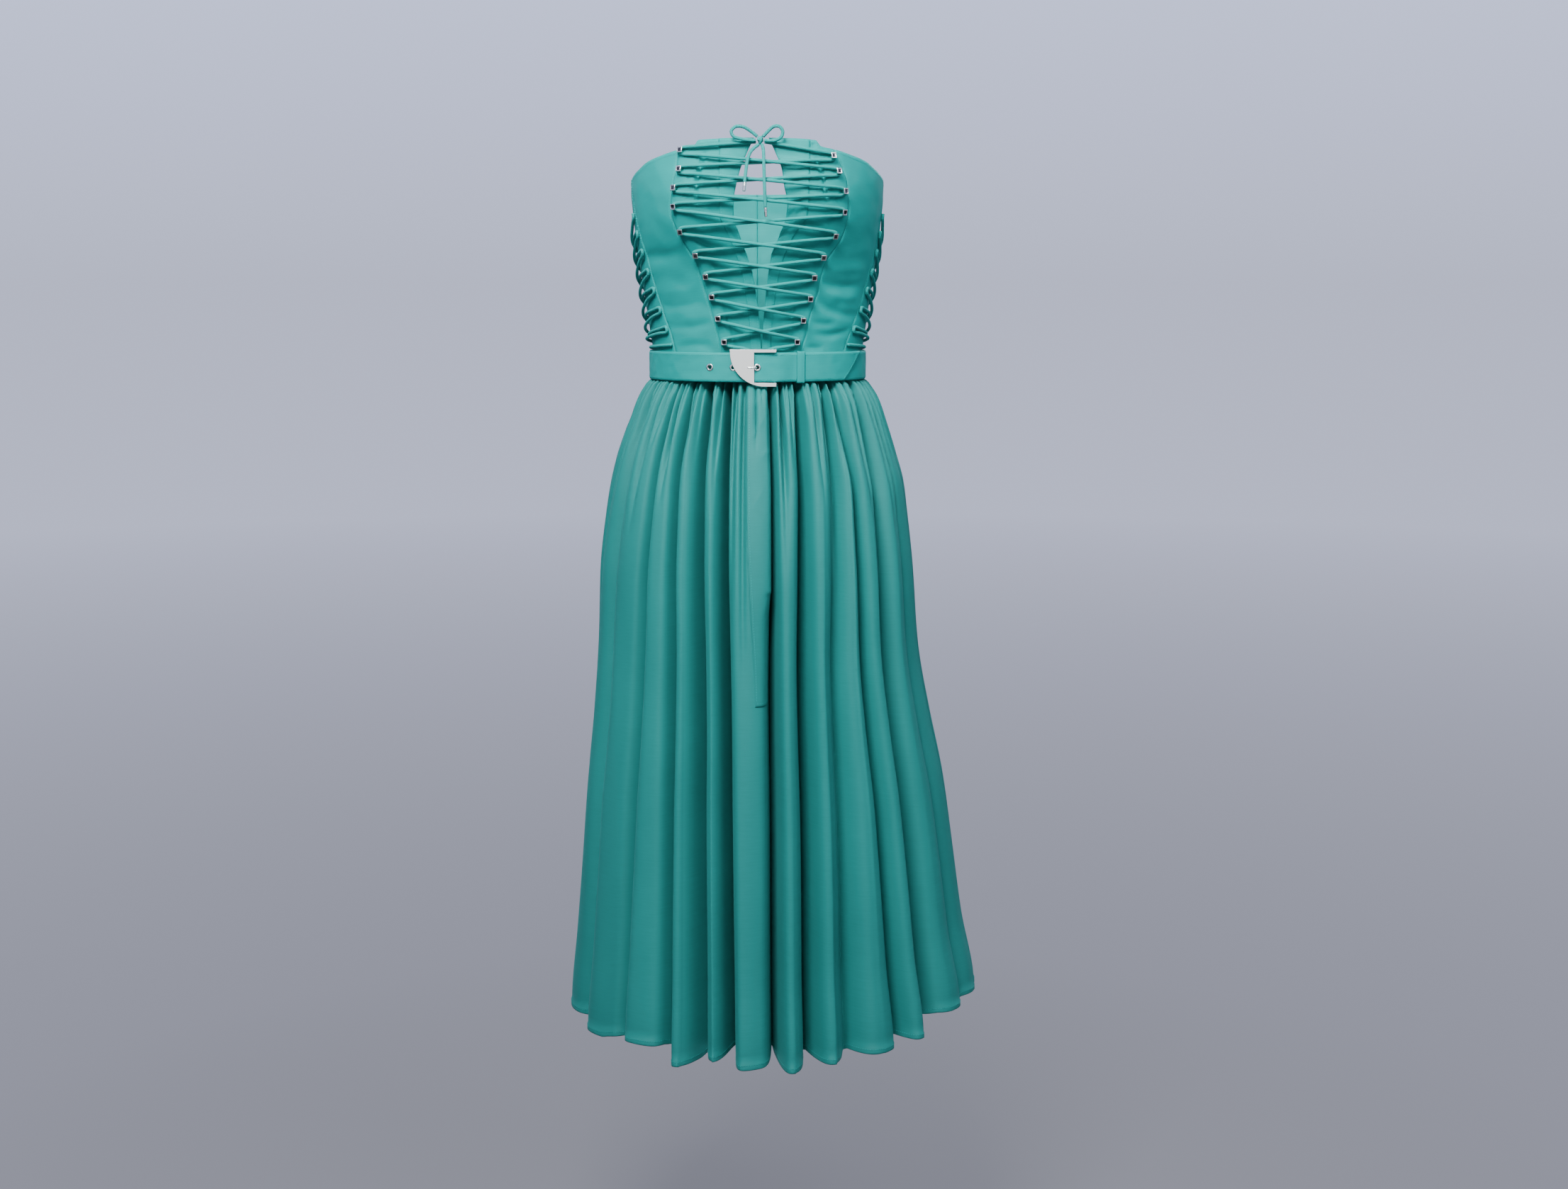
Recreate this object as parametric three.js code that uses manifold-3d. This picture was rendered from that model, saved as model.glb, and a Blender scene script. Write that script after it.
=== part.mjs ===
// A strapless midi dress in teal cotton poplin: a panelled bodice laced up over an open
// middle, laced sides, a gathered skirt with a fly placket, and a belt with a half-moon buckle.
// It keeps the hollow form that it has when worn. Millimetres, +Z up, the front faces -Y,
// and +X is the right of someone who faces it. The origin is the middle of the waist.
import * as THREE from "three";
import { mergeVertices } from "three/addons/utils/BufferGeometryUtils.js";
import Module from "manifold-3d";

const wasm = await Module();
wasm.setup();

// Driving dimensions
const SEAM_GAP = 0.3;
const BODICE_CLOTH = 1.4;
const SKIRT_CLOTH = 1.2;
const BAND_CLOTH = 1.0;
const WAIST_SEAM_Z = -8;
const HEM_Z = -700;
const BELT_HEIGHT = 30;
const BELT_CLOTH = 1.8;
const LACE_RADIUS = 1.7;
const SIDE_LACE_RADIUS = 1.5;
const PRONG_RADIUS = 0.9;

const TEAL_CLOTH = { color: 0x45a9a8, roughness: 0.75, metalness: 0 };
const TEAL_CORD = { color: 0x5fb9b6, roughness: 0.85, metalness: 0 };
const NICKEL = { color: 0xd8d5cf, roughness: 0.18, metalness: 1 };

// The bodice's level sections: half width, and depth to the front and to the back.
const BODICE_SECTIONS = [
  { z: -20, side: 111.5, front: 82, back: 77 },
  { z: 14, side: 111.5, front: 82, back: 77 },
  { z: 26, side: 112.5, front: 83, back: 78 },
  { z: 40, side: 114.5, front: 85, back: 80 },
  { z: 70, side: 119, front: 89, back: 85 },
  { z: 100, side: 123.5, front: 93, back: 90 },
  { z: 130, side: 127.5, front: 96, back: 94 },
  { z: 160, side: 131, front: 98, back: 97 },
  { z: 185, side: 132.5, front: 99, back: 97 },
  { z: 235, side: 129, front: 99, back: 95 },
];
// The two shaped cups stand forward of the sections.
const CUP = { x: 72, z: 160, depth: 24, spread: 34, above: 46, below: 34 };

// The bodice's top edge, by the angle from the front: it steps up over the middle.
const TOP_EDGE = [
  { angle: 0, z: 229 },
  { angle: 27, z: 227 },
  { angle: 29.5, z: 221 },
  { angle: 37, z: 218 },
  { angle: 46, z: 214 },
  { angle: 58, z: 208 },
  { angle: 70, z: 199 },
  { angle: 85, z: 191 },
  { angle: 105, z: 185 },
  { angle: 180, z: 181 },
];

// Seams of the front, as distances from the middle to the left and to the right.
const OPENING = [
  { z: -20, left: -3.4, right: 4.2 },
  { z: 18, left: -3.4, right: 4.6 },
  { z: 49, left: -1.6, right: 6.2 },
  { z: 71, left: 1, right: 8 },
  { z: 95, left: 5, right: 11 },
  { z: 111, left: 10, right: 13.5 },
  { z: 136, left: 19, right: 23.5 },
  { z: 152, left: 24, right: 29 },
  { z: 165, left: 24, right: 30 },
  { z: 181, left: 21.5, right: 27 },
  { z: 198, left: 17, right: 24.5 },
  { z: 217, left: 9, right: 17 },
  { z: 232, left: 3, right: 11 },
];
const BAND_SEAM = [
  { z: -20, left: 6, right: 13 },
  { z: 18, left: 7, right: 13.5 },
  { z: 49, left: 9, right: 15 },
  { z: 71, left: 12, right: 18 },
  { z: 95, left: 16, right: 22 },
  { z: 111, left: 21, right: 27 },
  { z: 136, left: 31, right: 39 },
  { z: 152, left: 38, right: 50 },
  { z: 181, left: 38.5, right: 52 },
  { z: 217, left: 38.5, right: 53 },
  { z: 235, left: 38.5, right: 53 },
];
const PRINCESS_SEAM = [
  { z: -20, left: 36, right: 42 },
  { z: 18, left: 38, right: 45.5 },
  { z: 30, left: 40, right: 49 },
  { z: 52, left: 46, right: 54 },
  { z: 76, left: 53, right: 62 },
  { z: 95, left: 59, right: 66 },
  { z: 108, left: 64, right: 71 },
  { z: 125, left: 75, right: 83 },
  { z: 141, left: 83, right: 90 },
  { z: 160, left: 88, right: 93 },
  { z: 185, left: 85, right: 91 },
  { z: 200, left: 82, right: 86 },
  { z: 217, left: 80, right: 78 },
  { z: 235, left: 79, right: 74 },
];
// Seams of the side panels, in degrees from the front.
const SIDE_FRONT_SEAM = [
  { z: -20, left: 47, right: 50 },
  { z: 17, left: 50, right: 54 },
  { z: 57, left: 57, right: 64 },
  { z: 97, left: 64, right: 72 },
  { z: 122, left: 69, right: 77 },
  { z: 152, left: 75, right: 81 },
  { z: 200, left: 82, right: 86 },
];
const SIDE_BACK_SEAM = [
  { z: -20, left: 132, right: 132 },
  { z: 17, left: 129, right: 129 },
  { z: 57, left: 120, right: 120 },
  { z: 97, left: 112, right: 112 },
  { z: 152, left: 103, right: 103 },
  { z: 200, left: 98, right: 98 },
];
const CENTRE_BACK_SEAM = [
  { z: -20, left: 180, right: 180 },
  { z: 200, left: 180, right: 180 },
];

// The skirt's level sections, measured over the crests of its folds.
const SKIRT_SECTIONS = [
  { z: -703, left: 208, right: 242, front: 216, back: 204 },
  { z: -614, left: 201, right: 227, front: 202, back: 194 },
  { z: -533, left: 195, right: 216, front: 190, back: 184 },
  { z: -453, left: 189, right: 204, front: 178, back: 175 },
  { z: -374, left: 181, right: 188, front: 167, back: 167 },
  { z: -295, left: 175, right: 175, front: 157, back: 160 },
  { z: -218, left: 171, right: 169, front: 148, back: 151 },
  { z: -156, left: 163, right: 162, front: 138, back: 141 },
  { z: -125, left: 158, right: 158, front: 131, back: 134 },
  { z: -95, left: 151, right: 150, front: 123, back: 125 },
  { z: -62, left: 140, right: 140, front: 112, back: 112 },
  { z: -36, left: 130, right: 131, front: 102, back: 99 },
  { z: -22, left: 121, right: 122, front: 91, back: 87 },
  { z: -17, left: 111.5, right: 111.5, front: 82, back: 77 },
  { z: -7, left: 111.5, right: 111.5, front: 82, back: 77 },
];
const SKIRT_ROWS_Z = [-8.3, -17, -22, -36, -75, -160, -340, -700];
// The height of the small gathers under the waist seam, dying out down the skirt.
const GATHER_HEIGHT = [
  { z: -400, height: 0 },
  { z: -340, height: 0.3 },
  { z: -160, height: 1.6 },
  { z: -75, height: 3.4 },
  { z: -36, height: 4.2 },
  { z: -22, height: 3.4 },
  { z: -17, height: 1.4 },
  { z: -7, height: 1 },
];
// The skirt's large folds. Each row is the valley that opens a fold, in degrees from the front
// at the waist and at the hem, its depth at the hem, the gathers in the fold that follows it,
// and how far that fold's hem hangs below the mean.
const SKIRT_VALLEYS = [
  { waist: -76, hem: -92, depth: 18, gathers: 2, drop: -2 },
  { waist: -63, hem: -69, depth: 9, gathers: 2, drop: 3 },
  { waist: -45, hem: -47, depth: 24, gathers: 3, drop: -8 },
  { waist: -36, hem: -29, depth: 26, gathers: 2, drop: 7 },
  { waist: -26, hem: -18.5, depth: 26, gathers: 2, drop: -3 },
  { waist: -16, hem: -9, depth: 30, gathers: 4, drop: 4 },
  { waist: 6, hem: 4.5, depth: 32, gathers: 3, drop: 8 },
  { waist: 20.5, hem: 14, depth: 26, gathers: 3, drop: 3 },
  { waist: 36, hem: 25, depth: 15, gathers: 2, drop: -1 },
  { waist: 42, hem: 40, depth: 27, gathers: 2, drop: -7 },
  { waist: 57, hem: 51, depth: 22, gathers: 2, drop: -10 },
  { waist: 70, hem: 68, depth: 10, gathers: 2, drop: -4 },
  { waist: 84, hem: 85, depth: 18, gathers: 3, drop: -4 },
  { waist: 101, hem: 104, depth: 24, gathers: 2, drop: 3 },
  { waist: 117, hem: 121, depth: 26, gathers: 3, drop: -2 },
  { waist: 133, hem: 137, depth: 22, gathers: 2, drop: 4 },
  { waist: 149, hem: 152, depth: 28, gathers: 3, drop: 0 },
  { waist: 165, hem: 166, depth: 22, gathers: 2, drop: 5 },
  { waist: 180, hem: 180, depth: 28, gathers: 3, drop: 2 },
  { waist: 196, hem: 195, depth: 24, gathers: 2, drop: -3 },
  { waist: 211, hem: 211, depth: 27, gathers: 3, drop: 4 },
  { waist: 228, hem: 226, depth: 23, gathers: 3, drop: 0 },
  { waist: 247, hem: 243, depth: 26, gathers: 2, drop: 5 },
  { waist: 265, hem: 257, depth: 20, gathers: 3, drop: -2 },
  { waist: 284, hem: 268, depth: 18, gathers: 0, drop: 0 },
];
// Which run of valleys each skirt panel spans, and the fold that carries the fly placket.
const SKIRT_PANELS = [
  { name: "skirt_front_left", from: 0, to: 6 },
  { name: "skirt_front_right", from: 6, to: 12 },
  { name: "skirt_back_right", from: 12, to: 18 },
  { name: "skirt_back_left", from: 18, to: 24 },
];
const FLY_FOLD = 5;
const FLY_ROWS = 6;
const STEPS_PER_GATHER = 3;

// The hook studs, ten a side, as distances from the middle and heights.
const STUD_ROWS = [
  { left: 75, leftZ: 216, right: 74, rightZ: 210 },
  { left: 76, leftZ: 197, right: 79, rightZ: 195 },
  { left: 81, leftZ: 179, right: 85, rightZ: 176 },
  { left: 81, leftZ: 161, right: 84, rightZ: 156 },
  { left: 75, leftZ: 138, right: 76, rightZ: 134 },
  { left: 61, leftZ: 115, right: 65, rightZ: 113 },
  { left: 51, leftZ: 93, right: 56, rightZ: 92 },
  { left: 45, leftZ: 72, right: 52, rightZ: 70 },
  { left: 39, leftZ: 50, right: 45, rightZ: 48 },
  { left: 33, leftZ: 26, right: 39, rightZ: 26 },
];
const STUD = { cap: 6, capHeight: 2.6, post: 1.5, bevel: 0.9 };
const SIDE_LACE_ROWS_Z = [155, 136, 117, 97, 78, 58, 38, 20];

// The buckle, in its own flat: x to the right and z up from the middle of the belt.
const BUCKLE = {
  left: -28.5, right: 19, top: 18.6, bottom: -19.4, plateRight: -3.5,
  arm: 15.3, thick: 1.8, arcX: 7, arcZ: 16, arcRadius: 35.4, barX: 16.6, barRadius: 1,
};
const EYELETS_X = [-46, -23.4, -0.4];
const EYELET = { hole: 2, outer: 4, flange: 0.5 };
const KEEPER = { x: 42.5, width: 8, cloth: 1.2 };
const TAIL_TIP = { topX: 105, bottomX: 88 };

// Reads one named column of a table at any place along it, on a smooth monotone curve.
function read(table, across, column, place) {
  const rows = table[0][across] < table[table.length - 1][across] ? table : [...table].reverse();
  const end = rows.length - 1;
  if (place <= rows[0][across]) return rows[0][column];
  if (place >= rows[end][across]) return rows[end][column];
  let i = 0;
  while (rows[i + 1][across] < place) i += 1;
  const rise = (k) => {
    if (k < 0 || k >= end) return 0;
    return (rows[k + 1][column] - rows[k][column]) / (rows[k + 1][across] - rows[k][across]);
  };
  const slope = (k) => {
    const before = rise(k - 1);
    const after = rise(k);
    return before * after > 0 ? (2 * before * after) / (before + after) : 0;
  };
  const width = rows[i + 1][across] - rows[i][across];
  const t = (place - rows[i][across]) / width;
  const a = rows[i][column];
  const b = rows[i + 1][column];
  return a * (1 + 2 * t) * (1 - t) ** 2 + b * t * t * (3 - 2 * t)
    + width * (slope(i) * t * (1 - t) ** 2 - slope(i + 1) * t * t * (1 - t));
}

const radians = THREE.MathUtils.degToRad;
const degrees = THREE.MathUtils.radToDeg;
const mix = THREE.MathUtils.lerp;

// A point of the bodice at an angle in degrees from the front and a height.
function bodicePoint(angle, z) {
  const turn = radians(angle);
  const x = read(BODICE_SECTIONS, "z", "side", z) * Math.sin(turn);
  if (Math.cos(turn) < 0) {
    return new THREE.Vector3(x, -read(BODICE_SECTIONS, "z", "back", z) * Math.cos(turn), z);
  }
  const height = z > CUP.z ? CUP.above : CUP.below;
  const out = ((Math.abs(x) - CUP.x) / CUP.spread) ** 2 + ((z - CUP.z) / height) ** 2;
  const cup = CUP.depth * Math.exp(-out / 2) * Math.min(1, 3 * Math.cos(turn));
  return new THREE.Vector3(x, -read(BODICE_SECTIONS, "z", "front", z) * Math.cos(turn) - cup, z);
}

// The outward normal of a surface given by an angle and a height.
function normalAt(surface, angle, z) {
  const around = surface(angle + 0.5, z).sub(surface(angle - 0.5, z));
  const up = surface(angle, z + 0.5).sub(surface(angle, z - 0.5));
  return around.cross(up).normalize();
}

function liftedPoint(surface, angle, z, lift) {
  return surface(angle, z).addScaledVector(normalAt(surface, angle, z), lift);
}

// The bodice's angle at a distance to one side of the middle.
function angleAtX(x, z) {
  return degrees(Math.asin(x / read(BODICE_SECTIONS, "z", "side", z)));
}

function material(look) {
  return new THREE.MeshStandardMaterial(look);
}

// A closed wall from a grid of outer points and the matching grid of inner points.
function wallGeometry(outer, inner) {
  const rows = outer.length;
  const columns = outer[0].length;
  const positions = [];
  const faces = [];
  for (const side of [outer, inner]) {
    for (const row of side) {
      for (const point of row) positions.push(point.x, point.y, point.z);
    }
  }
  const at = (side, j, i) => side * rows * columns + j * columns + i;
  const quad = (a, b, c, d) => faces.push(a, b, c, a, c, d);
  for (let j = 0; j < rows - 1; j += 1) {
    for (let i = 0; i < columns - 1; i += 1) {
      quad(at(0, j, i), at(0, j, i + 1), at(0, j + 1, i + 1), at(0, j + 1, i));
      quad(at(1, j, i), at(1, j + 1, i), at(1, j + 1, i + 1), at(1, j, i + 1));
    }
    quad(at(0, j, 0), at(0, j + 1, 0), at(1, j + 1, 0), at(1, j, 0));
    const last = columns - 1;
    quad(at(0, j, last), at(1, j, last), at(1, j + 1, last), at(0, j + 1, last));
  }
  for (let i = 0; i < columns - 1; i += 1) {
    quad(at(0, 0, i), at(1, 0, i), at(1, 0, i + 1), at(0, 0, i + 1));
    const top = rows - 1;
    quad(at(0, top, i), at(0, top, i + 1), at(1, top, i + 1), at(1, top, i));
  }
  const geometry = new THREE.BufferGeometry();
  geometry.setAttribute("position", new THREE.Float32BufferAttribute(positions, 3));
  geometry.setIndex(faces);
  geometry.computeVertexNormals();
  return geometry;
}

// A closed mesh as a solid that can be joined and cut, and back again.
function solidOf(geometry) {
  const bare = geometry.clone();
  bare.deleteAttribute("normal");
  bare.deleteAttribute("uv");
  const merged = mergeVertices(bare, 1e-4);
  return new wasm.Manifold(new wasm.Mesh({
    numProp: 3,
    vertProperties: merged.attributes.position.array,
    triVerts: new Uint32Array(merged.index.array),
  }));
}

function geometryOf(solid) {
  const mesh = solid.getMesh();
  const geometry = new THREE.BufferGeometry();
  geometry.setAttribute("position", new THREE.Float32BufferAttribute(mesh.vertProperties, 3));
  geometry.setIndex([...mesh.triVerts]);
  geometry.computeVertexNormals();
  return geometry;
}

const dress = new THREE.Group();

function add(name, geometry, look) {
  const mesh = new THREE.Mesh(geometry, material(look));
  mesh.name = name;
  dress.add(mesh);
  return mesh;
}

// Bodice panels. Each spans two seams, and its rows share the seams' heights with its
// neighbours, so that the panels meet edge to edge.
const BODICE_ROWS = 11;
// How far a degree round the bodice goes, near enough for a seam gap.
const MM_PER_DEGREE = 1.9;

function seamAngle(seam, side, z) {
  const place = read(seam, "z", side, z);
  const inDegrees = seam === SIDE_FRONT_SEAM || seam === SIDE_BACK_SEAM || seam === CENTRE_BACK_SEAM;
  return inDegrees ? place : angleAtX(place, z);
}

// A seam's angle and height at one row, from the waist (0) to the top edge (1).
function seamRow(seam, side, row) {
  let z = WAIST_SEAM_Z;
  let angle = 0;
  for (let pass = 0; pass < 12; pass += 1) {
    angle = seamAngle(seam, side, z);
    z = WAIST_SEAM_Z + row * (read(TOP_EDGE, "angle", "z", Math.abs(angle)) - WAIST_SEAM_Z);
  }
  return angle;
}

// The places of a panel's grid: rows of angles and heights between two seams.
// inset is the gap that the panel keeps from each seam line, in millimetres.
function panelPlaces(side, innerSeam, outerSeam, shares, insets) {
  const places = [];
  for (let j = 0; j <= BODICE_ROWS; j += 1) {
    const row = j / BODICE_ROWS;
    const start = seamRow(innerSeam, side, row) + insets[0] / MM_PER_DEGREE;
    const finish = seamRow(outerSeam, side, row) - insets[1] / MM_PER_DEGREE;
    places.push(shares.map((share) => {
      const angle = mix(start, finish, share);
      const top = read(TOP_EDGE, "angle", "z", Math.abs(angle));
      return { angle, z: mix(WAIST_SEAM_Z, top, row) };
    }));
  }
  return places;
}

function evenShares(count) {
  return Array.from({ length: count + 1 }, (_, i) => i / count);
}

// Turns places into a wall, with the outer face lifted and the cloth's thickness inside it.
function panelGeometry(places, side, lift, thickness) {
  const sign = side === "left" ? -1 : 1;
  const layer = (height) => places.map((row) => {
    const points = row.map(({ angle, z }) => liftedPoint(bodicePoint, sign * angle, z, height));
    return sign < 0 ? points.reverse() : points;
  });
  return wallGeometry(layer(lift), layer(lift - thickness));
}

for (const side of ["left", "right"]) {
  const half = SEAM_GAP / 2;

  // The centre front has a column of points on the band's seam, so that the band can lie on it.
  const frontRows = [];
  const bandRows = [];
  const openPlaces = panelPlaces(side, OPENING, BAND_SEAM, [0, 0.5, 1], [0, 0]);
  const clothPlaces = panelPlaces(side, BAND_SEAM, PRINCESS_SEAM, evenShares(5), [0, half]);
  for (let j = 0; j <= BODICE_ROWS; j += 1) {
    frontRows.push([...openPlaces[j].slice(0, 2), ...clothPlaces[j]]);
    bandRows.push([...openPlaces[j].slice(0, 2), clothPlaces[j][0]]);
  }
  add(`centre_front_${side}`, panelGeometry(frontRows, side, 0, BODICE_CLOTH), TEAL_CLOTH);
  const bandLift = SEAM_GAP + BAND_CLOTH;
  add(`front_band_${side}`, panelGeometry(bandRows, side, bandLift, BAND_CLOTH), TEAL_CLOTH);

  const sideFront = panelPlaces(side, PRINCESS_SEAM, SIDE_FRONT_SEAM, evenShares(8), [half, half]);
  add(`side_front_${side}`, panelGeometry(sideFront, side, 0, BODICE_CLOTH), TEAL_CLOTH);
  const sidePanel = panelPlaces(side, SIDE_FRONT_SEAM, SIDE_BACK_SEAM, evenShares(6), [half, half]);
  add(`side_panel_${side}`, panelGeometry(sidePanel, side, 0, BODICE_CLOTH), TEAL_CLOTH);
  const back = panelPlaces(side, SIDE_BACK_SEAM, CENTRE_BACK_SEAM, evenShares(7), [half, half]);
  add(`back_${side}`, panelGeometry(back, side, 0, BODICE_CLOTH), TEAL_CLOTH);
}

// Skirt. Its columns run fold by fold: valleys lean from their waist angle to their hem angle,
// the cloth rounds outward between them, and gathers ripple it under the waist.
const FOLDS_START_Z = -30;
const FLY_EDGE = 0.45;

function foldDepth(fold, z) {
  const down = THREE.MathUtils.clamp((z - FOLDS_START_Z) / (HEM_Z - FOLDS_START_Z), 0, 1);
  return SKIRT_VALLEYS[fold].depth * down ** 0.7;
}

function valleyAngle(fold, z) {
  const down = THREE.MathUtils.clamp((z - WAIST_SEAM_Z) / (HEM_Z - WAIST_SEAM_Z), 0, 1);
  return mix(SKIRT_VALLEYS[fold].waist, SKIRT_VALLEYS[fold].hem, down ** 0.6);
}

// A point on the skirt's crest outline, and its outward direction in plan.
function skirtOutline(angle, z) {
  const turn = radians(angle);
  const width = read(SKIRT_SECTIONS, "z", Math.sin(turn) < 0 ? "left" : "right", z);
  const depth = read(SKIRT_SECTIONS, "z", Math.cos(turn) < 0 ? "back" : "front", z);
  const point = new THREE.Vector3(width * Math.sin(turn), -depth * Math.cos(turn), z);
  const out = new THREE.Vector3(Math.sin(turn) / width, -Math.cos(turn) / depth, 0).normalize();
  return { point, out };
}

// The outer point of a fold at a share of its width, from its own valley (0) to the next (1).
// The columns crowd together in the valleys, where the cloth turns most, and the gathers are
// uneven from fold to fold.
function skirtPoint(fold, share, row) {
  const valley = SKIRT_VALLEYS[fold];
  const wave = 2 * Math.PI * share;
  const bulge = ((1 - Math.cos(wave)) / 2) ** 0.75;
  const sag = valley.drop * bulge * (row === SKIRT_ROWS_Z.length - 1 ? 1 : 0);
  const z = SKIRT_ROWS_Z[row] - sag;
  const lean = share - 0.45 * Math.sin(wave) / (2 * Math.PI);
  const angle = mix(valleyAngle(fold, z), valleyAngle(fold + 1, z), lean);
  const depth = mix(foldDepth(fold, z), foldDepth(fold + 1, z), share);
  const isFly = fold === FLY_FOLD && share > FLY_EDGE;
  const ripple = (1 + Math.cos(2 * Math.PI * share * valley.gathers)) / 2;
  const uneven = 0.8 + 0.2 * Math.sin(2.4 * fold + 5 * share);
  const gather = isFly ? 0.2 : ripple * uneven;
  const inward = depth * (1 - bulge) + read(GATHER_HEIGHT, "z", "height", z) * gather;
  const { point, out } = skirtOutline(angle, z);
  return point.addScaledVector(out, -inward);
}

// A row of outer points, and the inner points one cloth thickness inside them. Where the cloth
// turns sharply, as in a valley, the inner point moves further, so that the wall keeps its thickness.
function skirtRow(from, to, row) {
  const outer = [];
  const steps = [];
  for (let fold = from; fold < to; fold += 1) {
    const count = SKIRT_VALLEYS[fold].gathers * STEPS_PER_GATHER;
    for (let k = 0; k < count; k += 1) steps.push({ fold, share: k / count });
  }
  steps.push({ fold: to - 1, share: 1 });
  for (const { fold, share } of steps) outer.push(skirtPoint(fold, share, row));
  return outer;
}

function plainNormal(a, b) {
  return new THREE.Vector3(b.y - a.y, a.x - b.x, 0).normalize();
}

function offsetRow(outer, distance) {
  const last = outer.length - 1;
  return outer.map((point, i) => {
    if (i === 0 || i === last) {
      const outward = new THREE.Vector3(point.x, point.y, 0).normalize();
      return point.clone().addScaledVector(outward, distance * 1.6);
    }
    const before = plainNormal(outer[i - 1], point);
    const after = plainNormal(point, outer[i + 1]);
    const middle = before.clone().add(after).normalize();
    const spread = Math.max(middle.dot(after), 0.5);
    return point.clone().addScaledVector(middle, distance / spread);
  });
}

// Moves the two ends of a row half a seam gap back from the seam.
function openSeams(row) {
  const last = row.length - 1;
  for (const [i, toward] of [[0, 1], [last, -1]]) {
    const around = new THREE.Vector3(-row[i].y, row[i].x, 0).normalize();
    row[i].addScaledVector(around, (toward * SEAM_GAP) / 2);
  }
  return row;
}

for (const panel of SKIRT_PANELS) {
  const outer = [];
  const inner = [];
  for (let row = SKIRT_ROWS_Z.length - 1; row >= 0; row -= 1) {
    const points = skirtRow(panel.from, panel.to, row);
    outer.push(openSeams(points.map((point) => point.clone())));
    inner.push(openSeams(offsetRow(points, -SKIRT_CLOTH)));
  }
  add(panel.name, wallGeometry(outer, inner), TEAL_CLOTH);
}

// The fly placket lies on the flat half of its fold, and stops a step short of the valley.
{
  const count = SKIRT_VALLEYS[FLY_FOLD].gathers * STEPS_PER_GATHER;
  const layers = [[], []];
  for (let row = FLY_ROWS - 1; row >= 1; row -= 1) {
    const points = skirtRow(FLY_FOLD, FLY_FOLD + 1, row);
    const first = count / 2 + (row === FLY_ROWS - 1 ? 1 : 0);
    const low = offsetRow(points, SEAM_GAP).slice(first, count);
    const high = offsetRow(points, SEAM_GAP + BAND_CLOTH).slice(first, count);
    if (row === FLY_ROWS - 1) {
      low.unshift(low[0].clone().lerp(low[1], -0.05));
      high.unshift(high[0].clone().lerp(high[1], -0.05));
    }
    layers[0].push(high);
    layers[1].push(low);
  }
  add("fly_placket", wallGeometry(layers[0], layers[1]), TEAL_CLOTH);
}

// Belt. One strap starts as a loop round the buckle's bar, goes round the back, rises over its own
// start in front, passes through the buckle and ends in a slanted tip under the keeper.
const BELT_LEVELS = [
  { angle: 8, lift: 1.8 },
  { angle: 296, lift: 1.8 },
  { angle: 343, lift: 8.3 },
  { angle: 370, lift: 8.3 },
  { angle: 380, lift: 3.9 },
  { angle: 430, lift: 3.9 },
];
const BELT_STEP = 6;

function beltPoint(angle, z, lift) {
  const point = liftedPoint(bodicePoint, angle, 0, lift);
  point.z = z;
  return point;
}

function strapPoint(angle, z, height) {
  return beltPoint(angle, z, read(BELT_LEVELS, "angle", "lift", angle) + height);
}

// The strap's outer face at one eyelet or keeper: where it is and which way it faces.
function strapFrame(x) {
  const angle = 360 + angleAtX(x, 0);
  const out = strapPoint(angle - 1, 0, BELT_CLOTH)
    .sub(strapPoint(angle + 1, 0, BELT_CLOTH)).cross(new THREE.Vector3(0, 0, 1)).negate();
  return { origin: strapPoint(angle, 0, BELT_CLOTH), out: out.normalize() };
}

// Places a geometry made along +Z so that +Z points out of a surface and +Y stays up.
function placeOn(geometry, origin, out) {
  const up = new THREE.Vector3(0, 0, 1).addScaledVector(out, -out.z).normalize();
  const across = up.clone().cross(out);
  const turn = new THREE.Matrix4().makeBasis(across, up, out);
  return geometry.applyMatrix4(turn).translate(origin.x, origin.y, origin.z);
}

function barPlace() {
  const angle = angleAtX(BUCKLE.barX, 0);
  const centreLift = read(BELT_LEVELS, "angle", "lift", angle) + BUCKLE.barRadius + SEAM_GAP + BELT_CLOTH;
  return beltPoint(angle, 0, centreLift);
}

function uprightCylinder(radius, height, centre) {
  const geometry = new THREE.CylinderGeometry(radius, radius, height, 12);
  geometry.rotateX(Math.PI / 2);
  return geometry.translate(centre.x, centre.y, centre.z);
}

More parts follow.
